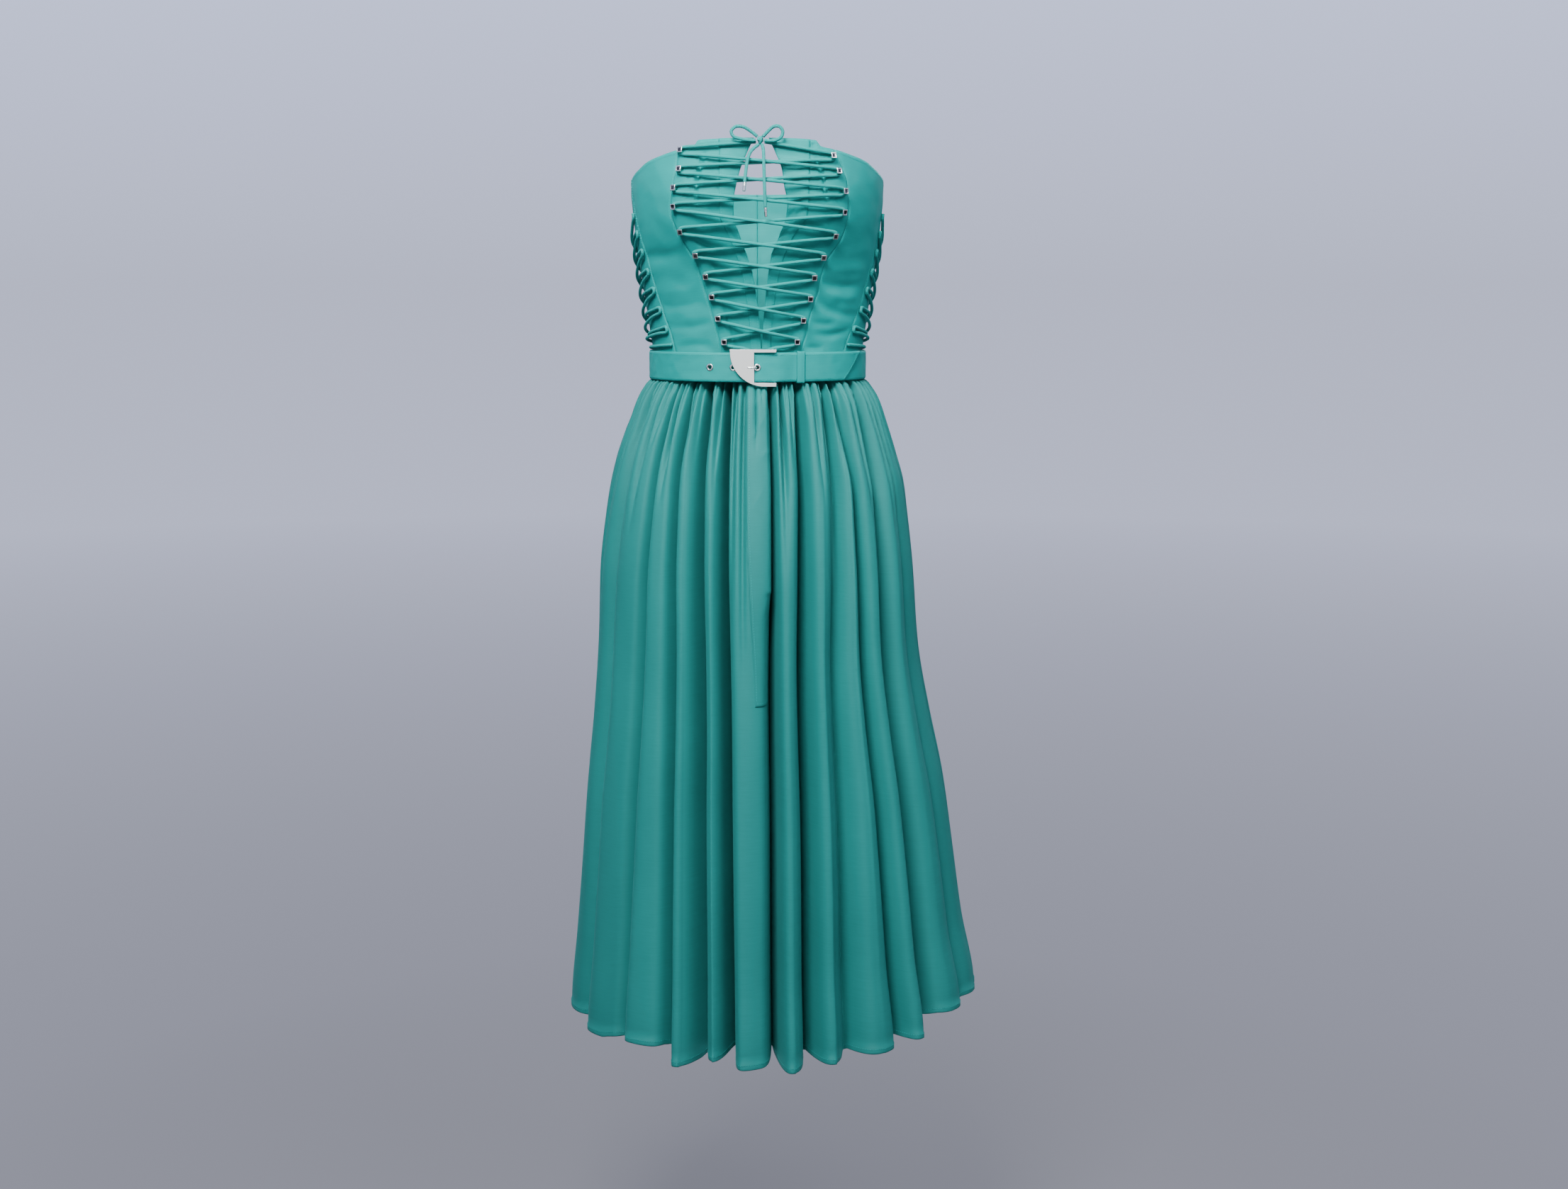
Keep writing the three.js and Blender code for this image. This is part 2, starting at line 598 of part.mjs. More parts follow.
{
  const half = BELT_HEIGHT / 2;
  const start = angleAtX(BUCKLE.barX, 0);
  const topEnd = 360 + angleAtX(TAIL_TIP.topX - 2, 0);
  const bottomEnd = 360 + angleAtX(TAIL_TIP.bottomX - 2, 0);
  const count = Math.ceil((bottomEnd - start) / BELT_STEP);
  const outer = [[], []];
  const inner = [[], []];
  for (let i = 0; i <= count; i += 1) {
    const share = i / count;
    const slant = THREE.MathUtils.clamp(1 - (count - i) / 4, 0, 1);
    const bottomAngle = mix(start, bottomEnd, share);
    const topAngle = bottomAngle + slant * (topEnd - bottomEnd);
    outer[0].push(strapPoint(bottomAngle, -half, BELT_CLOTH));
    outer[1].push(strapPoint(topAngle, half, BELT_CLOTH));
    inner[0].push(strapPoint(bottomAngle, -half, 0));
    inner[1].push(strapPoint(topAngle, half, 0));
  }
  const bar = barPlace();
  const clear = BUCKLE.barRadius + SEAM_GAP;
  const loop = solidOf(uprightCylinder(clear + BELT_CLOTH, BELT_HEIGHT, bar));
  const bore = solidOf(uprightCylinder(clear, BELT_HEIGHT + 2, bar));
  // The prong comes out through a slot in the front of the loop.
  const slotSize = 8;
  const slotBack = clear + 1;
  const slot = new THREE.BoxGeometry(slotSize, slotSize, 6);
  slot.translate(bar.x, bar.y - slotSize / 2 + slotBack, 0);
  let strap = solidOf(wallGeometry(outer, inner)).add(loop).subtract(bore).subtract(solidOf(slot));
  for (const x of EYELETS_X) {
    const { origin, out } = strapFrame(x);
    const hole = new THREE.CylinderGeometry(EYELET.hole + 0.7, EYELET.hole + 0.7, 5, 12);
    hole.rotateX(Math.PI / 2);
    strap = strap.subtract(solidOf(placeOn(hole, origin, out)));
  }
  add("belt_strap", geometryOf(strap), TEAL_CLOTH);
}

// A metal eyelet: a barrel through the strap and a rounded flange on its face.
function eyeletGeometry() {
  const wall = 0.4;
  const lay = 0.2;
  const profile = [
    [EYELET.hole, -BELT_CLOTH],
    [EYELET.hole + wall, -BELT_CLOTH],
    [EYELET.hole + wall, lay],
    [EYELET.outer, lay],
    [EYELET.outer - 0.6, lay + EYELET.flange],
    [EYELET.hole, lay + EYELET.flange],
    [EYELET.hole, -BELT_CLOTH],
  ];
  const geometry = new THREE.LatheGeometry(profile.map(([r, h]) => new THREE.Vector2(r, h)), 14);
  return geometry.rotateX(Math.PI / 2);
}

EYELETS_X.forEach((x, i) => {
  const { origin, out } = strapFrame(x);
  add(`belt_eyelet_${i + 1}`, placeOn(eyeletGeometry(), origin, out), NICKEL);
});

// The keeper is a closed loop of the same cloth round the strap's two layers.
{
  const clear = SEAM_GAP;
  const angle = angleAtX(KEEPER.x, 0);
  const top = BELT_HEIGHT / 2 + clear;
  const back = 2 * SEAM_GAP;
  const front = read(BELT_LEVELS, "angle", "lift", 360 + angle) + BELT_CLOTH + clear + KEEPER.cloth;
  const rect = (x0, x1, y) => [[x0, -y], [x1, -y], [x1, y], [x0, y]].map(([a, b]) => new THREE.Vector2(a, b));
  const shape = new THREE.Shape(rect(back, front, top + KEEPER.cloth));
  shape.holes.push(new THREE.Path(rect(back + 0.8, front - KEEPER.cloth, top)));
  const geometry = new THREE.ExtrudeGeometry(shape, { depth: KEEPER.width, bevelEnabled: false });
  geometry.translate(0, 0, -KEEPER.width / 2);
  const out = normalAt(bodicePoint, angle, 0);
  const turn = new THREE.Matrix4().makeBasis(
    out, new THREE.Vector3(0, 0, 1), out.clone().cross(new THREE.Vector3(0, 0, 1)),
  );
  const seat = bodicePoint(angle, 0);
  geometry.applyMatrix4(turn).translate(seat.x, seat.y, 0);
  add("belt_keeper", geometry, TEAL_CLOTH);
}

// The buckle: a flat quarter-moon plate with two arms, whose ends turn back and hold the bar.
const PLATE_BACK_Y = -92.9;
{
  const { left, right, top, bottom, plateRight, arm, thick, arcX, arcZ, arcRadius } = BUCKLE;
  const outline = new THREE.Shape();
  outline.moveTo(right, top);
  outline.lineTo(left, top);
  outline.absarc(arcX, arcZ, arcRadius, Math.PI * 0.985, Math.PI * 1.5, false);
  outline.lineTo(right, bottom);
  outline.lineTo(right, -arm);
  outline.lineTo(plateRight, -arm);
  outline.lineTo(plateRight, arm);
  outline.lineTo(right, arm);
  outline.closePath();
  const bevel = 0.4;
  const plate = new THREE.ExtrudeGeometry(outline, {
    depth: thick - 2 * bevel, curveSegments: 14, bevelThickness: bevel, bevelSize: bevel,
    bevelOffset: -bevel, bevelSegments: 1,
  });
  plate.rotateX(Math.PI / 2).translate(0, PLATE_BACK_Y - bevel, 0);
  const bar = barPlace();
  const armDepth = bar.y + BUCKLE.barRadius - PLATE_BACK_Y + 0.5;
  let solid = solidOf(plate);
  const endHeight = 1.6;
  for (const end of [-1, 1]) {
    const back = new THREE.BoxGeometry(2 * BUCKLE.barRadius + 0.6, armDepth, endHeight);
    back.translate(bar.x, PLATE_BACK_Y - 0.5 + armDepth / 2, end * (arm + endHeight / 2));
    solid = solid.add(solidOf(back));
  }
  const rod = uprightCylinder(BUCKLE.barRadius, 2 * arm + 2, bar);
  add("belt_buckle", geometryOf(solid.add(solidOf(rod))), NICKEL);
}

// A path that is sampled exactly at its own points, so that tight bends stay as they are drawn.
class DrawnPath extends THREE.CatmullRomCurve3 {
  getUtoTmapping(u) {
    return u;
  }
}

function cordGeometry(points, radius, sides) {
  const ring = [];
  for (let i = 0; i < sides; i += 1) {
    const turn = (2 * Math.PI * i) / sides;
    ring.push(new THREE.Vector2(radius * Math.cos(turn), radius * Math.sin(turn)));
  }
  return new THREE.ExtrudeGeometry(new THREE.Shape(ring), {
    steps: points.length - 1, extrudePath: new DrawnPath(points), bevelEnabled: false,
  });
}

// The prong turns on the bar in a sleeve, runs behind the tail, comes up through the third
// eyelet and rests on the plate's edge.
{
  const bar = barPlace();
  const bore = BUCKLE.barRadius + SEAM_GAP;
  const middle = new THREE.Vector3(bar.x, bar.y, 0);
  const pin = [
    [bar.x - bore - 0.3, bar.y - 0.4, 0],
    [9, -87.5, 0],
    [4.3, -88.2, 0],
    [1.8, -88.7, 0],
    [-0.4, -91.3, 0],
    [-2.1, -94.8, 0],
    [-3.6, -96, 0],
    [-6, -96.1, 0],
    [-10.5, -96, 0],
  ].map((place) => new THREE.Vector3(...place));
  const sleeve = solidOf(uprightCylinder(bore + 0.6, 4.4, middle))
    .add(solidOf(cordGeometry(pin, PRONG_RADIUS, 8)))
    .subtract(solidOf(uprightCylinder(bore, 6, middle)));
  add("belt_prong", geometryOf(sleeve), NICKEL);
}

// Hook studs: a square post with a square bevelled cap, which the lace runs under.
const STUD_LIFT = SEAM_GAP;
const POST_HEIGHT = 2 * LACE_RADIUS + 2 * SEAM_GAP;

function studGeometry() {
  const corner = Math.SQRT2 / 2;
  const cap = STUD.cap * corner;
  const post = STUD.post * corner;
  const top = POST_HEIGHT + STUD.capHeight;
  const profile = [
    [0, 0], [post, 0], [post, POST_HEIGHT], [cap, POST_HEIGHT], [cap, top - STUD.bevel],
    [cap - STUD.bevel / corner, top], [0, top],
  ];
  const geometry = new THREE.LatheGeometry(profile.map(([r, h]) => new THREE.Vector2(r, h)), 4);
  return geometry.rotateX(Math.PI / 2).rotateZ(Math.PI / 4);
}

function studPlace(side, row) {
  const sign = side === "left" ? -1 : 1;
  return { x: sign * STUD_ROWS[row][side], z: STUD_ROWS[row][`${side}Z`] };
}

function clothFrame(x, z) {
  const angle = angleAtX(x, z);
  return { origin: liftedPoint(bodicePoint, angle, z, STUD_LIFT), out: normalAt(bodicePoint, angle, z) };
}

for (const side of ["left", "right"]) {
  for (let row = 0; row < STUD_ROWS.length; row += 1) {
    const { x, z } = studPlace(side, row);
    const { origin, out } = clothFrame(x, z);
    add(`stud_${side}_${row + 1}`, placeOn(studGeometry(), origin, out), NICKEL);
  }
}

// Laces. A run is pulled tight: no point lies nearer the body than the line over its neighbours.
function pulledTight(points) {
  return points.map((point, i) => {
    const tight = point.clone();
    for (let a = 0; a < i; a += 1) {
      for (let b = i + 1; b < points.length; b += 1) {
        const share = (i - a) / (b - a);
        tight.y = Math.min(tight.y, mix(points[a].y, points[b].y, share));
      }
    }
    return tight;
  });
}

const LACE_LIFT = STUD_LIFT + SEAM_GAP + LACE_RADIUS;
const CROSS_LIFT = 2 * LACE_RADIUS + 0.6;
const HOOK_RADIUS = 3.2;
const HOOK_TURNS = [95, 32, -32, -95];
// Away from its hooks a lace clears the band along the opening.
const RUN_RISE = SEAM_GAP + BAND_CLOTH + 0.7;

// The half circle that a lace makes round a stud's post, from above it to below it.
function hookPoints(side, row) {
  const { x, z } = studPlace(side, row);
  const { origin, out } = clothFrame(x, z);
  const up = new THREE.Vector3(0, 0, 1).addScaledVector(out, -out.z).normalize();
  const outward = up.clone().cross(out).multiplyScalar(side === "left" ? -1 : 1);
  return HOOK_TURNS.map((turn) => origin.clone()
    .addScaledVector(out, LACE_LIFT - STUD_LIFT)
    .addScaledVector(outward, HOOK_RADIUS * Math.cos(radians(turn)))
    .addScaledVector(up, HOOK_RADIUS * Math.sin(radians(turn))));
}

// The points between two hooks. over is how far the lace rises where it crosses the other one.
function runPoints(from, to, over) {
  const count = Math.abs(to.x - from.x) > 100 ? 8 : 6;
  const points = [from];
  for (let i = 1; i < count; i += 1) {
    const share = i / count;
    const flat = from.clone().lerp(to, share);
    const point = liftedPoint(bodicePoint, angleAtX(flat.x, flat.z), flat.z, LACE_LIFT + RUN_RISE);
    points.push(new THREE.Vector3(flat.x, point.y, flat.z));
  }
  points.push(to);
  const tight = pulledTight(points);
  const rise = (i) => over * THREE.MathUtils.smoothstep(0.5 - Math.abs(i / count - 0.5), 0.12, 0.4);
  tight.forEach((point, i) => { point.y -= rise(i); });
  return tight.slice(1, -1);
}

const BOW_KNOT = new THREE.Vector3(3, -106, 226);
// From the last studs both halves dip behind the belt, and meet in the middle.
const LACE_END_X = 1;
const LACE_END = [
  { out: 25, z: 20.6 },
  { out: 16, z: 19.4 },
  { out: 9, z: 16.6 },
  { out: 5, z: 12.6 },
  { out: 2.4, z: 11 },
  { out: 0.15, z: 11 },
];

// One half of the front lace, from the bow down to the middle behind the belt.
function laceHalf(firstSide, startsOver) {
  const other = { left: "right", right: "left" };
  const sign = firstSide === "left" ? -1 : 1;
  let side = firstSide;
  let hook = hookPoints(side, 0);
  const start = BOW_KNOT.clone().add(new THREE.Vector3(sign * 4.4, 2.6, -1.4));
  const route = [start, ...runPoints(start, hook[0], 0), ...hook];
  for (let row = 1; row < STUD_ROWS.length; row += 1) {
    side = other[side];
    const next = hookPoints(side, row);
    const isOver = (row % 2 === 1) === startsOver;
    route.push(...runPoints(hook[3], next[0], isOver ? CROSS_LIFT : 0), ...next);
    hook = next;
  }
  const lastSign = side === "left" ? -1 : 1;
  const middleY = liftedPoint(bodicePoint, 0, 0, LACE_LIFT + RUN_RISE).y;
  for (const { out, z } of LACE_END) {
    route.push(new THREE.Vector3(LACE_END_X + lastSign * out, middleY + out * 0.06, z));
  }
  return route;
}

add("lace_first_half", cordGeometry(laceHalf("left", true), LACE_RADIUS, 6), TEAL_CORD);
add("lace_second_half", cordGeometry(laceHalf("right", false), LACE_RADIUS, 6), TEAL_CORD);

// The bow, in hand-chosen points: its knot, two loops, and the two free ends with metal tips.
const knot = new THREE.SphereGeometry(1, 10, 7).scale(4, 3.4, 3.8);
add("bow_knot", knot.translate(BOW_KNOT.x, BOW_KNOT.y, BOW_KNOT.z), TEAL_CORD);

const BOW_CORDS = {
  bow_loop_left: [
    [0.1, -106.6, 229.7], [-6, -107.5, 234.5], [-14, -108.4, 239], [-21.5, -108.8, 239.2],
    [-25.8, -108.8, 235], [-24, -108.8, 230], [-16, -108.9, 227.2], [-8, -108.9, 226],
    [-1.9, -108.3, 225.9],
  ],
  bow_loop_right: [
    [5.7, -106.6, 229.5], [11, -107.6, 235], [16.5, -108.6, 239.4], [22, -109, 239.4],
    [25.4, -109, 234.8], [24, -109, 229.4], [18.5, -109, 226], [13, -109, 225.2],
    [7.3, -107.9, 225.9],
  ],
  bow_end_short: [
    [1.2, -107.8, 221.6], [-2.4, -110.2, 219], [-6.8, -113.2, 214.2], [-9.6, -116.4, 206.5],
    [-11, -118.8, 198], [-12, -120.6, 190], [-12.5, -121.4, 184.5],
  ],
  bow_end_long: [
    [4.6, -109, 221.9], [6, -112, 217], [6.4, -115.6, 209], [6.6, -118.6, 199],
    [6.9, -120.8, 189], [7.2, -122, 178], [7.6, -122.4, 168], [8, -122.2, 159.5],
  ],
};
for (const [name, places] of Object.entries(BOW_CORDS)) {
  const points = places.map((place) => new THREE.Vector3(...place));
  add(name, cordGeometry(points, LACE_RADIUS, 8), TEAL_CORD);
}

// The metal tips continue the free ends.
const TIP_LENGTH = 9;
for (const end of ["short", "long"]) {
  const places = BOW_CORDS[`bow_end_${end}`].slice(-2).map((place) => new THREE.Vector3(...place));
  const along = places[1].clone().sub(places[0]).normalize();
  const tip = new THREE.CylinderGeometry(1.5, 1.25, TIP_LENGTH, 10);
  tip.translate(0, -TIP_LENGTH / 2 - SEAM_GAP, 0);
  tip.applyQuaternion(new THREE.Quaternion().setFromUnitVectors(new THREE.Vector3(0, -1, 0), along));
  add(`bow_tip_${end}`, tip.translate(places[1].x, places[1].y, places[1].z), NICKEL);
}

// Side laces: on each side two cords cross over the side panel between its two seams.
function sideLace(side, startsInFront, startsOver) {
  const sign = side === "left" ? -1 : 1;
  const low = SIDE_LACE_RADIUS + 2 * SEAM_GAP + 0.6;
  const turn = 2.6;
  const edge = (inFront, z) => (inFront
    ? read(SIDE_FRONT_SEAM, "z", side, z) + 1.5 : read(SIDE_BACK_SEAM, "z", side, z) - 1.5);
  const point = (angle, z, lift) => liftedPoint(bodicePoint, sign * angle, z, lift);
  const route = [];
  let inFront = startsInFront;
  SIDE_LACE_ROWS_Z.forEach((z, row) => {
    const here = edge(inFront, z);
    route.push(point(here, z + turn, low));
    if (row === SIDE_LACE_ROWS_Z.length - 1) return;
    route.push(point(here, z - turn, low));
    const nextZ = SIDE_LACE_ROWS_Z[row + 1];
    const finish = edge(!inFront, nextZ);
    const isOver = (row % 2 === 0) === startsOver;
    for (const share of [0.25, 0.5, 0.75]) {
      const rise = isOver ? 2 * SIDE_LACE_RADIUS + 1.5 : 0;
      route.push(point(
        mix(here, finish, share), mix(z - turn, nextZ + turn, share),
        low + 1.2 + rise * (share === 0.5 ? 1 : 0.5),
      ));
    }
    inFront = !inFront;
  });
  return cordGeometry(route, SIDE_LACE_RADIUS, 6);
}

for (const side of ["left", "right"]) {
  add(`side_lace_${side}_first`, sideLace(side, true, true), TEAL_CORD);
  add(`side_lace_${side}_second`, sideLace(side, false, false), TEAL_CORD);
}

export default dress;
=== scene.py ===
import math
from bisect import bisect
from functools import cache

import bmesh
import bpy
from mathutils import Matrix, Vector, noise


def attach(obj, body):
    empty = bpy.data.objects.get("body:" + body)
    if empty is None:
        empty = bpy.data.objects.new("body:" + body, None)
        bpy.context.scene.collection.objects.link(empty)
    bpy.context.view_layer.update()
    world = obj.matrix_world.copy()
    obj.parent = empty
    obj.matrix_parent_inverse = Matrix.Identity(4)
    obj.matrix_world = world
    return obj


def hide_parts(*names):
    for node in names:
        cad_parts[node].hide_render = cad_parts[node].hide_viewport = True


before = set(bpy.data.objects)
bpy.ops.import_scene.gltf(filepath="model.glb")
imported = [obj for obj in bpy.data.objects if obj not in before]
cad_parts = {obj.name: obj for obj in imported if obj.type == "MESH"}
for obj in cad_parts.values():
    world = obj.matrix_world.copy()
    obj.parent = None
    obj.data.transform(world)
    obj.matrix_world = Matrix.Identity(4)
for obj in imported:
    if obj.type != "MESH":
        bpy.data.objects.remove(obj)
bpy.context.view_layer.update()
MM = 0.001

# Camera and studio: the photograph's view, from a little above the waist. The main soft light is
# high at the front, weaker ones stand at the right, above and far in front, and one lights the
# dress from behind. A pale floor lies below the hem and runs into a plain wall.
CAMERA_PLACE = Vector((0, -2.2, 0.085))
CAMERA_PITCH = math.radians(8.61)
CAMERA_YAW = math.radians(0.73)
CAMERA_SENSOR = 36
CAMERA_LENS = 47.2

camera = bpy.data.objects.new("camera", bpy.data.cameras.new("camera"))
camera.location = CAMERA_PLACE
camera.rotation_euler = (math.pi / 2 - CAMERA_PITCH, 0, -CAMERA_YAW)
camera.data.sensor_width = CAMERA_SENSOR
camera.data.lens = CAMERA_LENS
bpy.context.scene.collection.objects.link(camera)
bpy.context.scene.camera = camera

LIGHTS = {
    "key": {"place": (-0.35, -1.2, 1.2), "size": 0.7, "power": 60},
    "fill": {"place": (1.1, -1.2, 1.4), "size": 1.0, "power": 22},
    "top": {"place": (-0.3, -0.8, 2.2), "size": 1.0, "power": 5},
    "back": {"place": (0.8, 2.4, 1.6), "size": 1.6, "power": 60},
    "card": {"place": (0, -3.0, 0.1), "size": 1.4, "power": 8},
}
for name, light in LIGHTS.items():
    lamp = bpy.data.lights.new(name, "AREA")
    lamp.size = light["size"]
    lamp.energy = light["power"]
    holder = bpy.data.objects.new(name, lamp)
    holder.location = light["place"]
    holder.rotation_euler = (-Vector(light["place"])).to_track_quat("-Z", "Y").to_euler()
    bpy.context.scene.collection.objects.link(holder)


def math_node(tree, operation, *values):
    step = tree.nodes.new("ShaderNodeMath")
    step.operation = operation
    for socket, value in zip(step.inputs, values):
        if isinstance(value, (int, float)):
            socket.default_value = value
        else:
            tree.links.new(value, socket)
    return step.outputs[0]


def range_node(tree, value, start, finish):
    """Rises from 0 to 1 as the value goes from start to finish."""
    step = tree.nodes.new("ShaderNodeMapRange")
    step.inputs["From Min"].default_value = start
    step.inputs["From Max"].default_value = finish
    tree.links.new(value, step.inputs["Value"])
    return step.outputs["Result"]


def colour_node(tree, factor, first, second):
    """Goes from the first colour to the second as the factor rises from 0 to 1."""
    blend = tree.nodes.new("ShaderNodeMix")
    blend.data_type = "RGBA"
    blend.inputs["A"].default_value = first
    blend.inputs["B"].default_value = second
    tree.links.new(factor, blend.inputs["Factor"])
    return blend.outputs["Result"]


AMBIENT = 0.04
AMBIENT_COLOUR = (0.93, 0.97, 1, 1)
WALL_LOW = (0.62, 0.66, 0.88, 1)
WALL_HIGH = (0.80, 0.88, 1.25, 1)
WALL_RISE = 0.13
WALL_IN_METAL = 0.85

world = bpy.data.worlds.new("studio")
bpy.context.scene.world = world
world.use_nodes = True
sky = world.node_tree
ambient = sky.nodes["Background"]
ambient.inputs["Color"].default_value = AMBIENT_COLOUR
ambient.inputs["Strength"].default_value = AMBIENT
wall = sky.nodes.new("ShaderNodeBackground")
wall_place = sky.nodes.new("ShaderNodeTexCoord")
wall_height = sky.nodes.new("ShaderNodeSeparateXYZ")
sky.links.new(wall_place.outputs["Generated"], wall_height.inputs[0])
wall_rise = range_node(sky, wall_height.outputs["Z"], 0, WALL_RISE)
sky.links.new(colour_node(sky, wall_rise, WALL_LOW, WALL_HIGH), wall.inputs["Color"])
seen = sky.nodes.new("ShaderNodeLightPath")
wall_glints = math_node(sky, "MULTIPLY", seen.outputs["Is Glossy Ray"], WALL_IN_METAL)
wall_shows = math_node(sky, "MAXIMUM", seen.outputs["Is Camera Ray"], wall_glints)
backdrop = sky.nodes.new("ShaderNodeMixShader")
sky.links.new(wall_shows, backdrop.inputs[0])
sky.links.new(ambient.outputs[0], backdrop.inputs[1])
sky.links.new(wall.outputs[0], backdrop.inputs[2])
sky.links.new(backdrop.outputs[0], sky.nodes["World Output"].inputs["Surface"])

FLOOR_Z = -1.04
FLOOR_RADIUS = 40
FLOOR_COLOUR = (0.22, 0.225, 0.26, 1)
FLOOR_NEAR = (0.27, 0.275, 0.335, 1)
FLOOR_FADE = (0.3, 1.6)
FLOOR_RUN = (0.6, 8.0)

floor_mesh = bmesh.new()
bmesh.ops.create_circle(floor_mesh, cap_ends=True, segments=96, radius=FLOOR_RADIUS)
bmesh.ops.translate(floor_mesh, verts=floor_mesh.verts, vec=(0, 0, FLOOR_Z))
floor_data = bpy.data.meshes.new("floor")
floor_mesh.to_mesh(floor_data)
floor = bpy.data.objects.new("floor", floor_data)
bpy.context.scene.collection.objects.link(floor)


def new_look(name):
    """A new material, its node tree and its shader."""
    look = bpy.data.materials.new(name)
    look.use_nodes = True
    return look, look.node_tree, look.node_tree.nodes["Principled BSDF"]


floor_look, ground, near_floor = new_look("pale floor")
near_floor.inputs["Base Color"].default_value = FLOOR_COLOUR
near_floor.inputs["Roughness"].default_value = 0.85
far_floor = ground.nodes.new("ShaderNodeEmission")
floor_place = ground.nodes.new("ShaderNodeTexCoord")
floor_distance = ground.nodes.new("ShaderNodeVectorMath")
floor_distance.operation = "LENGTH"
ground.links.new(floor_place.outputs["Object"], floor_distance.inputs[0])
floor_run = range_node(ground, floor_distance.outputs["Value"], *FLOOR_RUN)
ground.links.new(colour_node(ground, floor_run, FLOOR_NEAR, WALL_LOW), far_floor.inputs["Color"])
floor_fade = range_node(ground, floor_distance.outputs["Value"], *FLOOR_FADE)
floor_seen = ground.nodes.new("ShaderNodeLightPath")
floor_share = math_node(ground, "MULTIPLY", floor_fade, floor_seen.outputs["Is Camera Ray"])
floor_mix = ground.nodes.new("ShaderNodeMixShader")
ground.links.new(floor_share, floor_mix.inputs[0])
ground.links.new(near_floor.outputs[0], floor_mix.inputs[1])
ground.links.new(far_floor.outputs[0], floor_mix.inputs[2])
ground.links.new(floor_mix.outputs[0], ground.nodes["Material Output"].inputs["Surface"])
floor_data.materials.append(floor_look)


# The bodice's form. It is a smooth hollow shell, narrowest at the waist: level sections that are
# half ellipses to the front and the back, with two shaped cups standing forward of them.
def smooth_table(names, *rows):
    """A table with named columns, read smoothly at any place along its first column."""
    places = [row[0] for row in rows]
    curves = {}
    for index, name in enumerate(names.split()[1:], 1):
        values = [row[index] for row in rows]
        rises = [
            (after - before) / (far - near)
            for before, after, near, far in zip(values, values[1:], places, places[1:])
        ]
        bends = [2 * a * b / (a + b) if a * b > 0 else 0 for a, b in zip(rises, rises[1:])]
        curves[name] = (values, [0, *bends, 0])

    def at(name, place):
        values, slopes = curves[name]
        if place <= places[0]:
            return values[0]
        if place >= places[-1]:
            return values[-1]
        i = bisect(places, place) - 1
        width = places[i + 1] - places[i]
        t = (place - places[i]) / width
        s = 1 - t
        ends = values[i] * (1 + 2 * t) * s * s + values[i + 1] * t * t * (3 - 2 * t)
        return ends + width * t * s * (slopes[i] * s - slopes[i + 1] * t)

    return at


BODICE_SECTIONS = smooth_table(
    "z side front back",
    (-20, 111.5, 82, 77), (14, 111.5, 82, 77), (26, 112.5, 83, 78), (40, 114.5, 85, 80),
    (70, 119, 89, 85), (100, 123.5, 93, 90), (130, 127.5, 96, 94), (160, 131, 98, 97),
    (185, 132.5, 99, 97), (235, 129, 99, 95),
)
CUP = {"x": 72, "z": 160, "depth": 24, "spread": 34, "above": 46, "below": 34, "fade": 3}
WAIST_SEAM_Z = -8
MM_PER_DEGREE = 2.1
TOP_EDGE = smooth_table(
    "angle z",
    (0, 229), (27, 227), (29.5, 221), (37, 218), (46, 214), (58, 208), (70, 199), (85, 191),
    (105, 185), (180, 181),
)


def bodice_point(angle, z):
    """A point of the bodice, by its angle in degrees from the front and its height."""
    turn = math.radians(angle)
    across, deep = math.sin(turn), math.cos(turn)
    x = BODICE_SECTIONS("side", z) * across
    if deep < 0:
        return Vector((x, -BODICE_SECTIONS("back", z) * deep, z))
    height = CUP["above"] if z > CUP["z"] else CUP["below"]
    away = ((abs(x) - CUP["x"]) / CUP["spread"]) ** 2 + ((z - CUP["z"]) / height) ** 2
    cup = CUP["depth"] * math.exp(-away / 2) * min(1, CUP["fade"] * deep)
    return Vector((x, -BODICE_SECTIONS("front", z) * deep - cup, z))


def outward(surface, a, b, step=0.5):
    """The outward normal of a surface given by two numbers, the second one rising with z."""
    around = surface(a + step, b) - surface(a - step, b)
    up = surface(a, b + step) - surface(a, b - step)
    return around.cross(up).normalized()


def lifted(angle, z, lift):
    return bodice_point(angle, z) + lift * outward(bodice_point, angle, z)


def angle_at(x, z):
    return math.degrees(math.asin(x / BODICE_SECTIONS("side", z)))


# Bodice panels, cotton poplin. Each is cut between two seams. The seams are given as distances
# from the middle on the front, and as degrees round the body at the sides and the back.
OPENING = smooth_table(
    "z left right",
    (-20, -3.4, 4.2), (18, -3.4, 4.6), (49, -1.6, 6.2), (71, 1, 8), (95, 5, 11), (111, 10, 13.5),
    (136, 19, 23.5), (152, 24, 29), (165, 24, 30), (181, 21.5, 27), (198, 17, 24.5), (217, 9, 17),
    (232, 3, 11),
)
BAND_SEAM = smooth_table(
    "z left right",
    (-20, 6, 13), (18, 7, 13.5), (49, 9, 15), (71, 12, 18), (95, 16, 22), (111, 21, 27),
    (136, 31, 39), (152, 38, 50), (181, 38.5, 52), (217, 38.5, 53), (235, 38.5, 53),
)
PRINCESS_SEAM = smooth_table(
    "z left right",
    (-20, 36, 42), (18, 38, 45.5), (30, 40, 49), (52, 46, 54), (76, 53, 62), (95, 59, 66),
    (108, 64, 71), (125, 75, 83), (141, 83, 90), (160, 88, 93), (185, 85, 91), (200, 82, 86),
    (217, 80, 78), (235, 79, 74),
)
SIDE_FRONT_SEAM = smooth_table(
    "z left right",
    (-20, 47, 50), (17, 50, 54), (57, 57, 64), (97, 64, 72), (122, 69, 77), (152, 75, 81),
    (200, 82, 86),
)
SIDE_BACK_SEAM = smooth_table(
    "z left right",
    (-20, 132, 132), (17, 129, 129), (57, 120, 120), (97, 112, 112), (152, 103, 103),
    (200, 98, 98),
)
